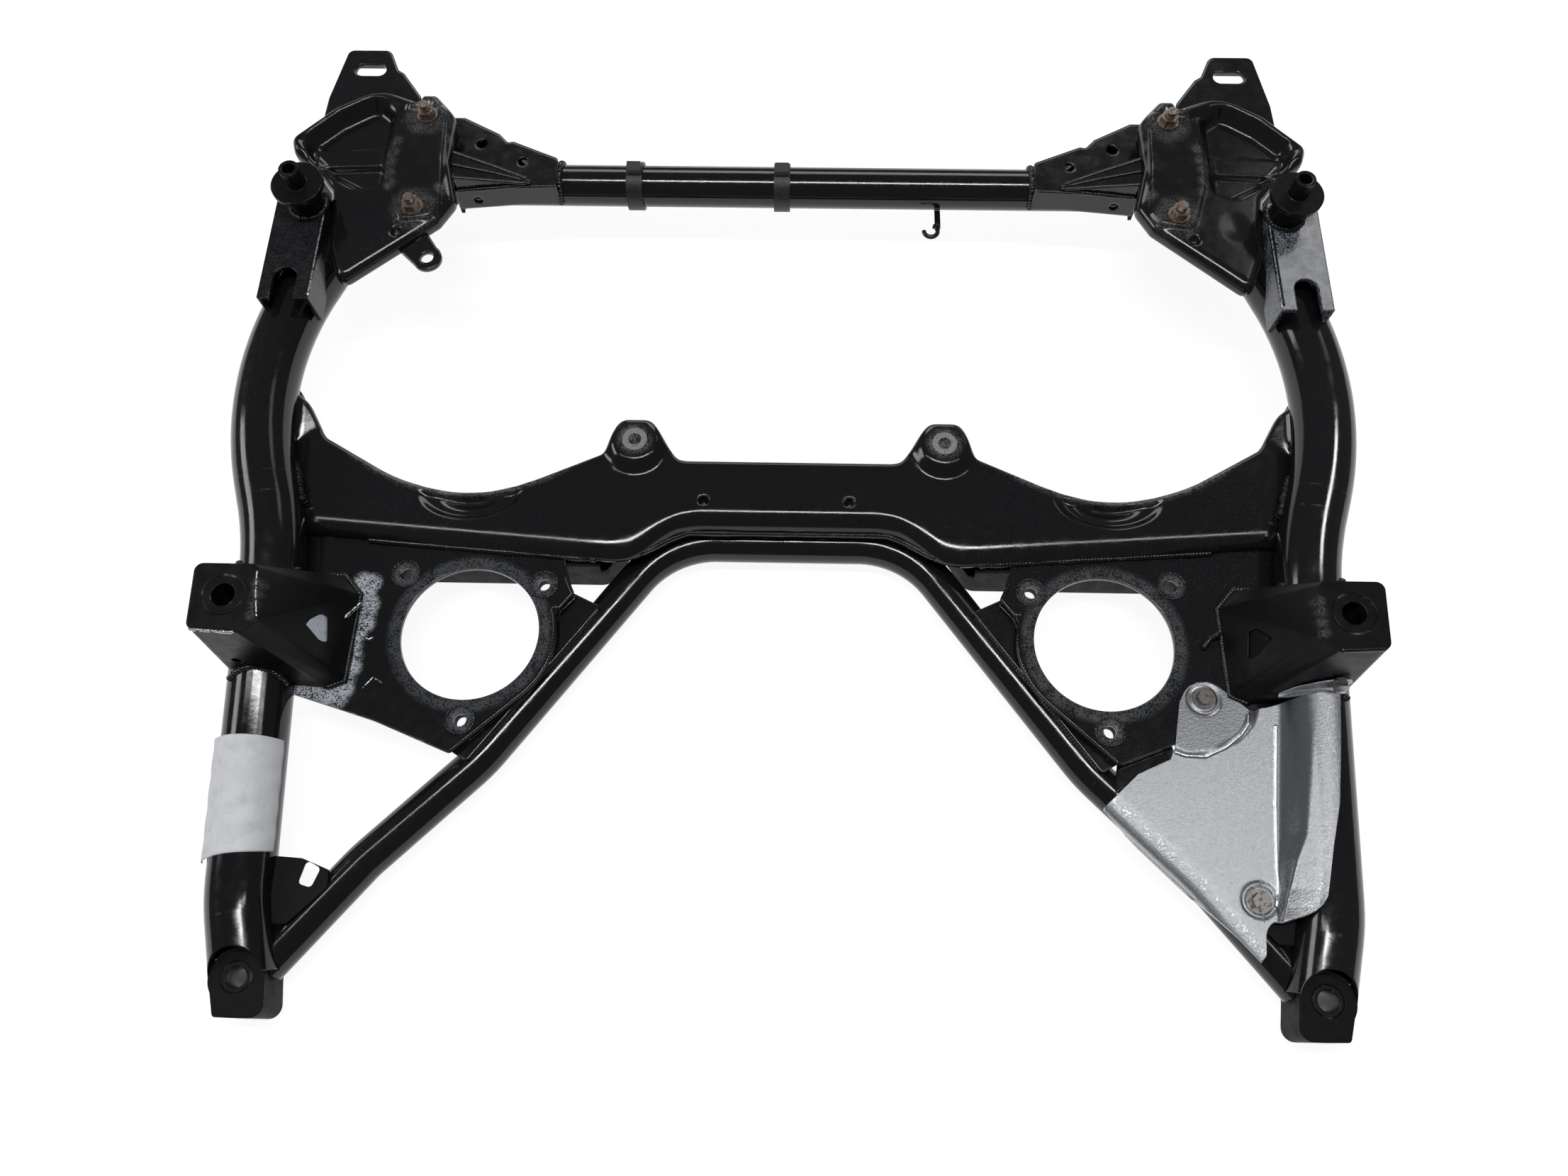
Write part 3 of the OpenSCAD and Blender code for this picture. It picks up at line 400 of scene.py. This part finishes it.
def console_height(x, y):
    """Top of the engine console over a place: level, falling in a quarter round at the edge; a rolled rim
    5 higher along the outer front; a hollow 10 deep with soft walls and a rib 5 high across its floor; the
    pad 3 higher; a small hole and a shallow dimple behind it."""
    edge = depth_inside(x, y, console_line)
    into = np.clip(edge_round - edge, 0.0, edge_round)
    fall = edge_round - np.sqrt(np.clip(edge_round ** 2 - into ** 2, 0.0, None))
    rim = 5.0 * step((y - 395.0) + 0.35 * (x - 340.0), -8.0, 8.0) * (1.0 - step(edge, 4.0, 14.0))
    hollow = step(depth_inside(x, y, dish_line), -3.0, 8.0)
    rib = step(depth_inside(x, y, rib_line), -0.5, 3.5)
    pad = step(depth_inside(x, y, pad_line), -1.0, 1.5)
    hole = 1.0 - step(np.hypot(x - 329.7, y - 287.4), 3.4, 4.6)
    dimple = 1.0 - step(np.hypot((x - 364.0) / 14.0, (y - 300.0) / 18.0), 0.1, 1.0)
    raised = console_top - fall + rim + 3.0 * pad
    return raised - hollow * (10.0 - 5.0 * rib) * (1.0 - pad) - 7.0 * hole - 0.7 * dimple


ring_count = 320
ring = np.concatenate([console_line, console_line[:1]])
ring_mark = np.concatenate([[0.0], np.cumsum(np.linalg.norm(np.diff(ring, axis=0), axis=1))])
ring_at = np.linspace(0.0, ring_mark[-1], ring_count + 1)[:-1]
ring = np.stack([np.interp(ring_at, ring_mark, ring[:, k]) for k in range(2)], -1)
hub_at = np.array([345.0, 345.0])
spoke = np.linalg.norm(ring - hub_at, axis=1)
edge_steps = np.array([0.0, 0.12, 0.35, 0.7, 1.2, 1.8, 2.6, 3.5, 4.5, 5.7, 7.0, 8.5, 10.0])
near_edge = edge_steps[:, None] / spoke
to_hub = near_edge[-1] + (1.0 - near_edge[-1]) * np.linspace(0.0, 1.0, 62)[1:, None]
inward = np.concatenate([near_edge, to_hub])
plan = hub_at + (ring - hub_at) * (1.0 - inward)[::-1, :, None]
console_z = console_height(plan[..., 0], plan[..., 1])
wall_rows = [np.concatenate([ring, np.full((ring_count, 1), low)], -1) for low in (101.0, 99.5, 98.0)]
console_points = np.concatenate([np.concatenate([plan, console_z[..., None]], -1), np.stack(wall_rows)])
for side, mirror in mirrors.items():
    skin_points = console_points[:, ::int(-mirror)] * [mirror, 1.0, 1.0]
    skin = grid_piece(f"{side}_console_skin", skin_points, console_paint, 2.6,
                      close=True, hub=True)
    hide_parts(f"{side}_engine_console")

# Fasteners, sleeves and clips
# Zinc-plated studs and flange nuts with a film of rust, bare rack sleeves, and black
# moulded clips on the front tube.


def plain_metal(name, colour, stain, rough, grain=300.0, metallic=1.0, patches=(0.45, 0.7), spread=0.2):
    """Metal with two colours mixed by noise, and roughness that rises by spread with the same noise."""
    material = bpy.data.materials.new(name)
    material.use_nodes = True
    tree = material.node_tree
    surface = tree.nodes["Principled BSDF"]
    where = tree.nodes.new("ShaderNodeTexCoord").outputs["Object"]
    spots = ramp(tree, noise(tree, where, grain, 5.0, 0.65), *patches)
    link(tree, blend(tree, spots, colour, stain), surface.inputs["Base Color"])
    duller = math_node(tree, "MULTIPLY", spots, spread)
    link(tree, math_node(tree, "ADD", duller, rough), surface.inputs["Roughness"])
    surface.inputs["Metallic"].default_value = metallic
    bump = tree.nodes.new("ShaderNodeBump")
    bump.inputs["Strength"].default_value = 0.2
    bump.inputs["Distance"].default_value = 0.0004
    link(tree, spots, bump.inputs["Height"])
    link(tree, bump.outputs[0], surface.inputs["Normal"])
    return material


zinc = plain_metal("rusty_zinc", (0.37, 0.31, 0.27), (0.13, 0.08, 0.055), 0.32, 420.0, patches=(0.42, 0.66))
dress(zinc, "left_engine_studs", "right_engine_studs", "left_engine_nuts", "right_engine_nuts")
bolt_metal = plain_metal("shield_bolt_metal", (0.36, 0.35, 0.34), (0.22, 0.13, 0.11), 0.32, 330.0,
                         patches=(0.5, 0.66))
dress(bolt_metal, "heat_shield_bolts")
bare = plain_metal("bare_end", (0.32, 0.32, 0.32), (0.12, 0.12, 0.12), 0.4, 500.0)
dress(bare, "left_rack_sleeve", "right_rack_sleeve")
clip_plastic = plain_metal("clip_plastic", (0.012, 0.012, 0.012), (0.03, 0.03, 0.03), 0.42, 800.0,
                           metallic=0.0)
dress(clip_plastic, "left_tube_clip", "middle_tube_clip")

# Heat shield
# One sheet of aluminium on the right side, rolled over the brace tube, stepped down to a tab
# on the arm plate and lifted over the side rail, with a flange against the body console.
shield_metal = plain_metal("shield_metal", (0.58, 0.59, 0.61), (0.54, 0.55, 0.57), 0.245, 700.0,
                           patches=(0.35, 0.7), spread=0.03)
shield_sheet = 1.2


def smooth_max(a, b, soft):
    """The larger of two heights, rounded over where they cross by about the given length."""
    return 0.5 * (a + b + np.sqrt((a - b) ** 2 + soft * soft))


def rear_rail(y):
    """X and Z of the side rail's axis at Y behind the body console: a straight line."""
    return 395.0 + (y + 243.0) * 0.0259, 30.0 + (y + 243.0) * 0.1259


def low_crease(y):
    """X at Y of the crease where the sheet starts to climb to the rail."""
    return np.interp(y, [-246, -223, -210, -164, -98], [355, 358, 358.2, 361.5, 367.7])


def shield_height(x, y):
    """Top of the shield over a place. Over the brace tube it falls in a round of 53 mm and then one of
    13.3 mm; from there a plane rises at 8 degrees; between two creases it climbs to the rail, which it
    covers with a round; inside the tab's curve it is level; each bolt sits in a shallow round groove."""
    bend = step((x - 310.6) * 0.67 - (y + 214.2) * 0.742, -30.0, 30.0)
    straight = ((x - 232.9) + (y + 136.5)) * 0.7071
    turned = (x - 310.6) * 0.777 + (y + 214.2) * 0.629
    off = straight * (1 - bend) + turned * bend
    wide = np.clip(0.139 - off / 53.0, 0.0, 0.347)
    tight = np.clip(0.347 - (off + 11.0) / 13.3, 0.347, 0.92)
    crest = 36.68 - 53.0 * (0.9903 - np.sqrt(1.0 - wide ** 2)) - 13.3 * (0.9379 - np.sqrt(1.0 - tight ** 2))
    height = np.where(off < 0.0, crest, 36.68 + off * 0.1405)
    stations = [-246, -238, -224.7, -204.3, -186.3, -151.4, -99.5]
    high_crease = np.interp(y, stations, [356.5, 358, 361.5, 368.5, 377.5, 383.4, 390.3])
    high = np.interp(y, stations, [43.5, 47, 52, 57, 60.5, 65.5, 72])
    axis_x, axis_z = rear_rail(y)
    saddle = axis_z + np.sqrt(np.clip(26.7 ** 2 - (x - axis_x) ** 2, 0.0, None))
    saddle = np.where(x > axis_x - 26.0, saddle, 0.0)
    rise = step(x, low_crease(y), high_crease)
    shelf_share = np.clip((x - high_crease) / (axis_x - high_crease), 0.0, 1.0)
    shelf = high + (axis_z + 25.5 - high) * shelf_share
    climb = height * (1 - rise) + shelf * rise
    height = np.where(x > low_crease(y), smooth_max(climb, saddle, 0.8), height)
    reach = np.hypot(x - 317.0, y + 86.0)
    widen = 9.0 * step(-x, -330.0, -295.0)
    tab = 1.0 - step(reach, 34.0 + widen, 39.0 + widen)
    height = height * (1 - tab) + 46.7 * tab
    for bolt_x, bolt_y in ((317.0, -85.0), (344.0, -231.6)):
        reach = np.hypot(x - bolt_x, y - bolt_y)
        height = height - 1.1 * step(reach, 9.4, 10.6) * (1.0 - step(reach, 11.5, 14.0))
    return height


columns = ((239.5, 407.0, 170), (288.0, 302.0, 40), (341.0, 348.0, 24), (383.0, 407.0, 40))
across = np.unique(np.concatenate([np.linspace(*column) for column in columns]))
rear_edge = np.interp(
    across,
    [239, 263, 292.3, 327.9, 342, 345.4, 346, 347.5, 350, 353, 357, 370.4, 377, 382, 385.4, 391.7, 398.8,
     404.3, 407],
    [-167, -194.4, -223.8, -258.3, -274.5, -270, -257, -252, -248.6, -247, -247.6, -243.6, -240.5, -236, -230,
     -196.5, -166, -119.6, -86])
front_edge = np.interp(
    across,
    [239, 265, 289, 292, 295.3, 298.6, 303, 308, 314, 320.7, 325, 329.4, 340.6, 349, 352.4, 362, 374, 407],
    [-166.5, -141.7, -131, -123, -104.7, -87.8, -80, -75, -72.2, -71.7, -72.6, -74.7, -83.6, -91.5, -93.5,
     -92, -88.5, -85])
share = np.linspace(0.0, 1.0, 150)[:, None]
plan_y = rear_edge * (1 - share) + front_edge * share
plan_x = np.broadcast_to(across, plan_y.shape)
shield_points = np.stack([plan_x, plan_y, shield_height(plan_x, plan_y)], -1)
shield = grid_piece("heat_shield_sheet", shield_points, shield_metal, shield_sheet)
run = np.linspace(0.0, 1.0, 60)[:, None] * np.ones(14)
lift = np.linspace(0.0, 1.0, 14) * np.ones((60, 1))
flange_x = 366.0 + 45.0 * run
flange_low = np.interp(flange_x, [366, 390, 411], [63.5, 72.0, 73.5])
flange_high = np.interp(flange_x, [366, 374, 386, 399, 408, 411], [66.0, 78.0, 86.0, 92.0, 92.5, 88.0])
flange_z = flange_low * (1 - lift) + flange_high * lift
flange_y = -87.2 + (flange_z - 45.0) * 0.133 - 3.0 * (1 - step(lift, 0.0, 0.35))
flange_points = np.stack([flange_x, flange_y, flange_z], -1)
flange = grid_piece("heat_shield_flange", flange_points, shield_metal, shield_sheet)
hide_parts("heat_shield")

# Weld beads
# Rippled fillet welds, painted over with the rest, along every joint that shows: plates and
# consoles on the rails, the crossmember's skirt, the gussets on the front tube.
weld_paint = dip_coat("weld_paint", dust=0.5, chips_and_sheen=0.2, edge=0.0006)
edge_paint = dip_coat("edge_paint", dust=0.3, chips_and_sheen=0.0, edge=0.0004, bare=(0.4, 0.4, 0.42))


def bead(path, radius, pitch=2.6, seed=0, ripple=0.16):
    """Weld bead along a polyline in millimetres. The path is cut into steps of 0.7 mm, and a ring of 8
    points around each swells and shrinks by ripple as a sine of the distance, with a slow random wander."""
    path = np.asarray(path, float)
    leg = np.linalg.norm(np.diff(path, axis=0), axis=1)
    mark = np.concatenate([[0.0], np.cumsum(leg)])
    along = np.linspace(0.0, mark[-1], max(4, int(mark[-1] / 0.7)))
    centre = np.stack([np.interp(along, mark, path[:, k]) for k in range(3)], -1)
    chance = np.random.default_rng(seed)
    wander = np.interp(along, np.linspace(0, mark[-1], 24), chance.normal(0.0, 1.0, 24))
    swell = radius * (1.0 + ripple * np.sin(2 * np.pi * along / pitch) + 0.75 * ripple * wander)
    swell *= np.clip(np.minimum(along, mark[-1] - along) / 2.0, 0.15, 1.0)
    ahead_way = np.gradient(centre, axis=0)
    ahead_way /= np.linalg.norm(ahead_way, axis=1, keepdims=True)
    out = np.cross(ahead_way, np.where(np.abs(ahead_way[:, 2:]) > 0.9, [[1.0, 0, 0]], [[0, 0, 1.0]]))
    out /= np.linalg.norm(out, axis=1, keepdims=True)
    other = np.cross(out, ahead_way)
    turn = np.linspace(0.0, 2 * np.pi, 8, endpoint=False)
    around = out[:, None] * np.cos(turn)[:, None] + other[:, None] * np.sin(turn)[:, None]
    return centre[:, None] + swell[:, None, None] * around


def bead_piece(name, path, radius, material, mirror=1.0, slot_name="black_paint", **ripples):
    """Bead along a path as a piece of its own; mirror is -1 where the path is given for the other side."""
    path = np.asarray(path, float) * [mirror, 1.0, 1.0]
    return grid_piece(name, bead(path, radius, **ripples), material, close=True)


def arc(centre, radius, start, stop, plane="xy", count=40):
    """Points on a circle between two angles in degrees, in the XY, XZ or YZ plane."""
    turn = np.radians(np.linspace(start, stop, count))
    points = np.tile(np.asarray(centre, float), (count, 1))
    points[:, "xyz".index(plane[0])] += radius * np.cos(turn)
    points[:, "xyz".index(plane[1])] += radius * np.sin(turn)
    return points


rail_radius = 24.0
rail_line = np.array([[382, -298, 26], [393.5, -250, 29.5], [395, -237, 30.6], [401.2, -8, 59.6],
                      [407, 43, 65.5], [424, 98, 70]], float)


def on_rail(y, angle):
    """Point on the rail's skin at Y: its axis plus the radius at an angle in degrees, from straight out
    (0) over the top (90) to inboard (180)."""
    y, angle = np.asarray(y, float), np.radians(np.asarray(angle, float))
    x = np.interp(y, rail_line[:, 1], rail_line[:, 0])
    z = np.interp(y, rail_line[:, 1], rail_line[:, 2])
    return np.stack([x + rail_radius * np.cos(angle), y, z + rail_radius * np.sin(angle)], -1)


turning = np.linspace(0.0, 1.0, 30)
welds = [
    ([(352, -88.6, 45.6), (337, -82.6, 45.6), (335.4, -12, 45.6), (350, 4.6, 45.6), (372, 3.6, 45.6)], 2.4),
    (on_rail(2.0 - 12.0 * np.sin(np.pi * turning), 172 - 140 * turning), 2.6),
    (on_rail(-90.0 + 9.0 * np.sin(np.pi * turning), 165 - 120 * turning), 2.6),
    ([(150, 21, 45.8), (230, 27, 45.8), (338, 35.2, 45.8)], 2.6),
    (on_rail(np.linspace(58, 96, 30), 192 + 6 * turning), 4.4),
    ([(149, -15.5, 33.4), (193, -77, 33.4), (238, -139, 33.4)], 2.4),
    (arc((207, 375.5, 62), 18.0, -10, 190, "yz"), 2.6),
    ([(294, 378.2, 86.5), (262, 369, 86.2), (233, 360, 86)], 2.0),
    ([(294, 347.8, 86.5), (262, 351.6, 86.2), (233, 355.5, 86)], 2.0),
    (arc((404, 309, 114.4), 14.4, 150, 395), 2.4),
]
welds += [(arc((x, y, 45), 11.0, 0, 360), 0.8) for x, y in plate_holes]
around_bush = arc((bush_x, bush_y, 44.2), 66.0, 160, 226)
plate_edge = [[(176, 8, 44.2), (169, -7, 44.2), (178.5, -19.5, 44.2)], around_bush, [(251, -136, 44.2)]]
rolled = [
    (np.concatenate(plate_edge), 1.7),
    ([(297, 376.0, 102.6), (262, 368.2, 94.6), (231, 360.4, 87.2)], 1.6),
    ([(297, 349.0, 102.6), (262, 352.6, 94.6), (231, 355.8, 87.2)], 1.6),
    ([(296, 362.5, 103.0), (262, 361.0, 95.0), (236, 358.6, 88.6)], 1.3),
    ([(391.4, 296, 112.6), (391.4, 219, 112.6)], 2.0),
    ([(383, -74.2, 133.8), (417, -72.2, 133.8)], 1.8),
    (arc((384, -299, 33.8), 20.5, 25, 160), 3.0),
    ([(336, 354.2, 86), (318, 347.4, 86), (262, 352.6, 85.2), (208, 355.2, 85)], 1.5),
]
for side, mirror in mirrors.items():
    for number, (path, radius) in enumerate(welds):
        bead_piece(f"{side}_weld_{number + 1}", path, radius, weld_paint, mirror, seed=number)
    for number, (path, radius) in enumerate(rolled):
        bead_piece(f"{side}_edge_{number + 1}", path, radius, edge_paint, mirror, seed=number, ripple=0.03)
middle_half = np.array([(118, 26, 47.2), (107, 33, 44.4), (96, 40.6, 42.4), (80, 47.6, 42)], float)
middle_path = np.concatenate([middle_half * [-1.0, 1.0, 1.0], middle_half[::-1]])
bead_piece("middle_weld", middle_path, 2.4, weld_paint)

# Shield creases
# Two folds of the shield's sheet, pressed in around the tab and along the foot of the climb to
# the rail. Each is a smooth rounded ridge that catches the light.
tab_x = np.array([290.7, 299.6, 314.0, 329.1, 341.0, 347.5, 350.0])
tab_y = np.array([-124.7, -128.3, -129.2, -122.3, -113.0, -104.0, -95.0])
tab_z = np.maximum(shield_height(tab_x, tab_y - 4.0), shield_height(tab_x, tab_y)) - 1.3
tab_path = np.stack([tab_x, tab_y, tab_z], -1)
bead_piece("shield_tab_crease", tab_path, 2.2, shield_metal, slot_name="shield_sheet", ripple=0.0)
fold_y = np.linspace(-104.0, -238.0, 40)
fold_x = low_crease(fold_y) - 0.5
fold_path = np.stack([fold_x, fold_y, shield_height(fold_x, fold_y) - 1.9], -1)
bead_piece("shield_fold_crease", fold_path, 2.6, shield_metal, slot_name="shield_sheet", ripple=0.0)

# Small sheets
# A black sheet under the right plate's rear edge, where the gap beside the shield shows dark, a thin wall
# in the window of each body console, a lance on the left plate, and bright bare-metal beads on small edges
# and lugs: chipped paint, and a painted highlight for the bright lines along them.


def patch(corners, material, name, thick):
    """Four-cornered sheet of 24 by 24 points: each is the blend of the corners by its two shares."""
    u, v = np.meshgrid(np.linspace(0.0, 1.0, 24), np.linspace(0.0, 1.0, 24))
    a, b, c, d = [np.asarray(corner, float) for corner in corners]
    u, v = u[..., None], v[..., None]
    points = a * (1 - u) * (1 - v) + b * u * (1 - v) + c * u * v + d * (1 - u) * v
    return grid_piece(name, points, material, thick)


# A black sheet in the rails' paint fills the dark gap under the right plate's rear edge, beside the shield.
plate_flange = [(248, -156, 33.5), (296, -128, 33.5), (294, -119, 33.5), (252, -131, 33.5)]
patch(plate_flange, rail_paint, "right_plate_flange", 3.0)
window_worn = [(-358.0, -48.0, 30.0, 40.0, 1.0)]
window_paint = dip_coat("window_paint", dust=0.3, worn=window_worn, bare=(0.62, 0.66, 0.72),
                        grit=(0.42, 0.66))
window = ((343.0, -69.0, 60.4), (343.0, -31.0, 61.5), (350.0, -31.0, 79.5), (357.0, -69.0, 98.1))
patch([(-x, y, z) for x, y, z in window], window_paint, "left_window_wall", 0.8)
patch(window[::-1], under_paint, "right_window_wall", 0.8)
# Bright bare metal for the thin beads below: chipped paint, and a painted highlight for the bright lines
# along these edges.
chip_and_highlight_metal = plain_metal("chip_and_highlight_edge", (0.68, 0.7, 0.73), (0.04, 0.04, 0.045), 0.28, 420.0,
                            patches=(0.5, 0.58), spread=0.1)
slot_side = [(390.4, 300.0, 113.8), (390.4, 219.0, 113.8)]
edges = {
    "left_plate_lance": ([(323.0, -88.2, 45.1), (315.9, -79.4, 45.3), (308.1, -83.6, 45.1)], 0.8),
    "left_console_hook": ([(340.4, -36.0, 58.0), (337.0, -27.0, 51.5), (333.0, -18.5, 47.0)], 1.7),
    "left_console_lug": ([(333.0, -43.0, 45.2), (324.0, -49.0, 45.6), (320.0, -46.5, 45.2)], 1.0),
    "right_console_lug": ([(320.0, -46.0, 46.0), (326.0, -38.0, 48.5), (336.0, -32.0, 47.0)], 2.6),
    "left_cap_edge": ([(383.5, -75.2, 134.8), (417.0, -73.2, 134.8)], 1.2),
    "left_cap_side": ([(370.3, -64.0, 134.6), (374.5, -44.0, 134.7), (376.6, -27.0, 134.6)], 0.7),
    "left_slot_edge": (slot_side, 0.9),
    "right_slot_edge": (slot_side, 0.8)}
for name, (path, radius) in edges.items():
    finish = edge_paint if name == "right_console_lug" else chip_and_highlight_metal
    bead_piece(name, path, radius, finish, mirrors[name.split("_")[0]], ripple=0.08)

# Paper label
# A plain white paper sticker wrapped over the left rail behind the body console, a little wavy and
# with one edge lifting.
paper = plain_metal("label_paper", (0.78, 0.79, 0.82), (0.7, 0.71, 0.75), 0.55, 120.0, metallic=0.0)
label_rear, label_front = -216.0, -131.0
label_y = np.linspace(label_rear, label_front, 60)[:, None] * np.ones(40)
label_turn = np.linspace(0.0, 1.0, 40) * np.ones((60, 1))
label_angle = np.radians(170.0 - 170.0 * label_turn)
label_wave = 0.25 * np.sin(label_y * 0.3 + 9.0 * label_turn)
label_lift = rail_radius + 0.5 + 5.0 * step(label_turn, 0.75, 1.0) + label_wave
label_y = label_y + 9.0 * (label_turn - 0.5) * (label_y - label_front) / (label_front - label_rear)
label_axis_x, label_axis_z = rear_rail(label_y)
label_x = -label_axis_x - label_lift * np.cos(label_angle)
label_z = label_axis_z + label_lift * np.sin(label_angle)
grid_piece("rail_label", np.stack([label_x, label_y, label_z], -1), paper, 0.15)

# Studio
# A pale floor that keeps a soft shadow, a dim room and long soft lamps overhead, whose reflections
# draw the bright stripes on the black paint. The shield is left out of the strips and has lamps of
# its own; the right slotted bracket and the right rail have one lamp more each.
floor_corners = [(x, y, -0.001) for x, y in ((-8, -8), (8, -8), (8, 8), (-8, 8))]
floor_mesh = bpy.data.meshes.new("studio_floor")
floor_mesh.from_pydata(floor_corners, [], [(0, 1, 2, 3)])
floor = bpy.data.objects.new("studio_floor", floor_mesh)
bpy.context.collection.objects.link(floor)
floor_coat = bpy.data.materials.new("floor_coat")
floor_coat.use_nodes = True
tree = floor_coat.node_tree
paint = tree.nodes["Principled BSDF"]
paint.inputs["Base Color"].default_value = (0.85, 0.85, 0.85, 1.0)
paint.inputs["Roughness"].default_value = 0.9
paint.inputs["Specular IOR Level"].default_value = 0.0
rays = tree.nodes.new("ShaderNodeLightPath")
glow = tree.nodes.new("ShaderNodeEmission")
glow.inputs["Strength"].default_value = 1.15
mixed = tree.nodes.new("ShaderNodeMixShader")
seen = math_node(tree, "MAXIMUM", rays.outputs["Is Camera Ray"], rays.outputs["Is Glossy Ray"])
seen = math_node(tree, "MAXIMUM", seen, rays.outputs["Is Transmission Ray"])
link(tree, math_node(tree, "MULTIPLY", seen, 0.8), mixed.inputs[0])
link(tree, paint.outputs[0], mixed.inputs[1])
link(tree, glow.outputs[0], mixed.inputs[2])
link(tree, mixed.outputs[0], tree.nodes["Material Output"].inputs[0])
floor_mesh.materials.append(floor_coat)

world = bpy.data.worlds.new("studio_room")
bpy.context.scene.world = world
world.use_nodes = True
room_light = world.node_tree.nodes["Background"]
room_light.inputs["Color"].default_value = (0.9, 0.95, 1.0, 1.0)
room_light.inputs["Strength"].default_value = 0.12


def softbox(name, place, aim, size, watts, lit=None):
    """Rectangular lamp at place, facing aim, with the given width and height in metres. It lights the
    pieces that the collection lit holds, or leaves out those that it marks so; with none, all of them."""
    lamp = bpy.data.lights.new(name, "AREA")
    lamp.shape = "RECTANGLE"
    lamp.size, lamp.size_y = size
    lamp.energy = watts
    holder = bpy.data.objects.new(name, lamp)
    back = np.array(place, float) - np.array(aim, float)
    back /= np.linalg.norm(back)
    side = np.cross([0.0, 1.0, 0.0], back)
    side /= np.linalg.norm(side)
    turn = np.eye(4)
    turn[:3, 0], turn[:3, 1], turn[:3, 2], turn[:3, 3] = side, np.cross(back, side), back, place
    holder.matrix_world = Matrix(turn.tolist())
    holder.light_linking.receiver_collection = lit
    bpy.context.collection.objects.link(holder)


def pieces_lit(name, *pieces):
    """Collection of the pieces that a lamp lights, or leaves out where they are marked so."""
    group = bpy.data.collections.new(name)
    for piece in pieces:
        group.objects.link(piece)
    return group


shield_group = (shield, flange, nodes["heat_shield_bolts"])
shield_alone = pieces_lit("shield_alone", *shield_group)
all_but_shield = pieces_lit("all_but_shield", *shield_group)
for entry in all_but_shield.collection_objects:
    entry.light_linking.link_state = "EXCLUDE"
slot_bracket = pieces_lit("slot_bracket", nodes["right_slot_bracket"])
right_rail = pieces_lit("right_rail", nodes["right_side_rail"])
shield_middle = (0.33, -0.26, 0.0)
softbox("overhead_core", (0.0, -0.06, 2.2), (0.0, 0.1, 0.0), (1.2, 0.16), 14.0, all_but_shield)
softbox("overhead_long", (0.0, -0.06, 2.21), (0.0, 0.1, 0.0), (3.0, 0.12), 11.0, all_but_shield)
softbox("left_window", (-3.0, 0.3, 1.8), (0.0, 0.0, 0.0), (1.0, 1.5), 24.0, all_but_shield)
softbox("front_window", (0.0, 2.4, 1.6), (0.0, 0.0, 0.0), (2.0, 0.8), 16.0)
softbox("right_window", (1.65, 1.75, 2.2), (0.4, 0.2, 0.0), (0.6, 0.7), 1.6)
softbox("bracket_window", (1.5, 1.75, 2.2), (0.4, 0.2, 0.0), (0.8, 0.7), 13.0, slot_bracket)
softbox("rail_window", (1.42, 0.6, 2.2), (0.42, 0.02, 0.07), (0.36, 0.6), 17.0, right_rail)
softbox("shield_panel", (1.1, -0.25, 2.2), shield_middle, (1.0, 0.9), 3.9, shield_alone)
softbox("shield_crest", (0.0, -0.85, 2.2), shield_middle, (0.55, 0.55), 4.4, shield_alone)
softbox("shield_roll", (-0.9, -1.7, 1.9), (0.3, -0.27, 0.0), (1.2, 0.9), 1.7, shield_alone)
softbox("shield_fold", (-0.22, -0.17, 2.2), shield_middle, (0.4, 0.4), 1.0, shield_alone)
bpy.context.scene.view_settings.view_transform = "Standard"
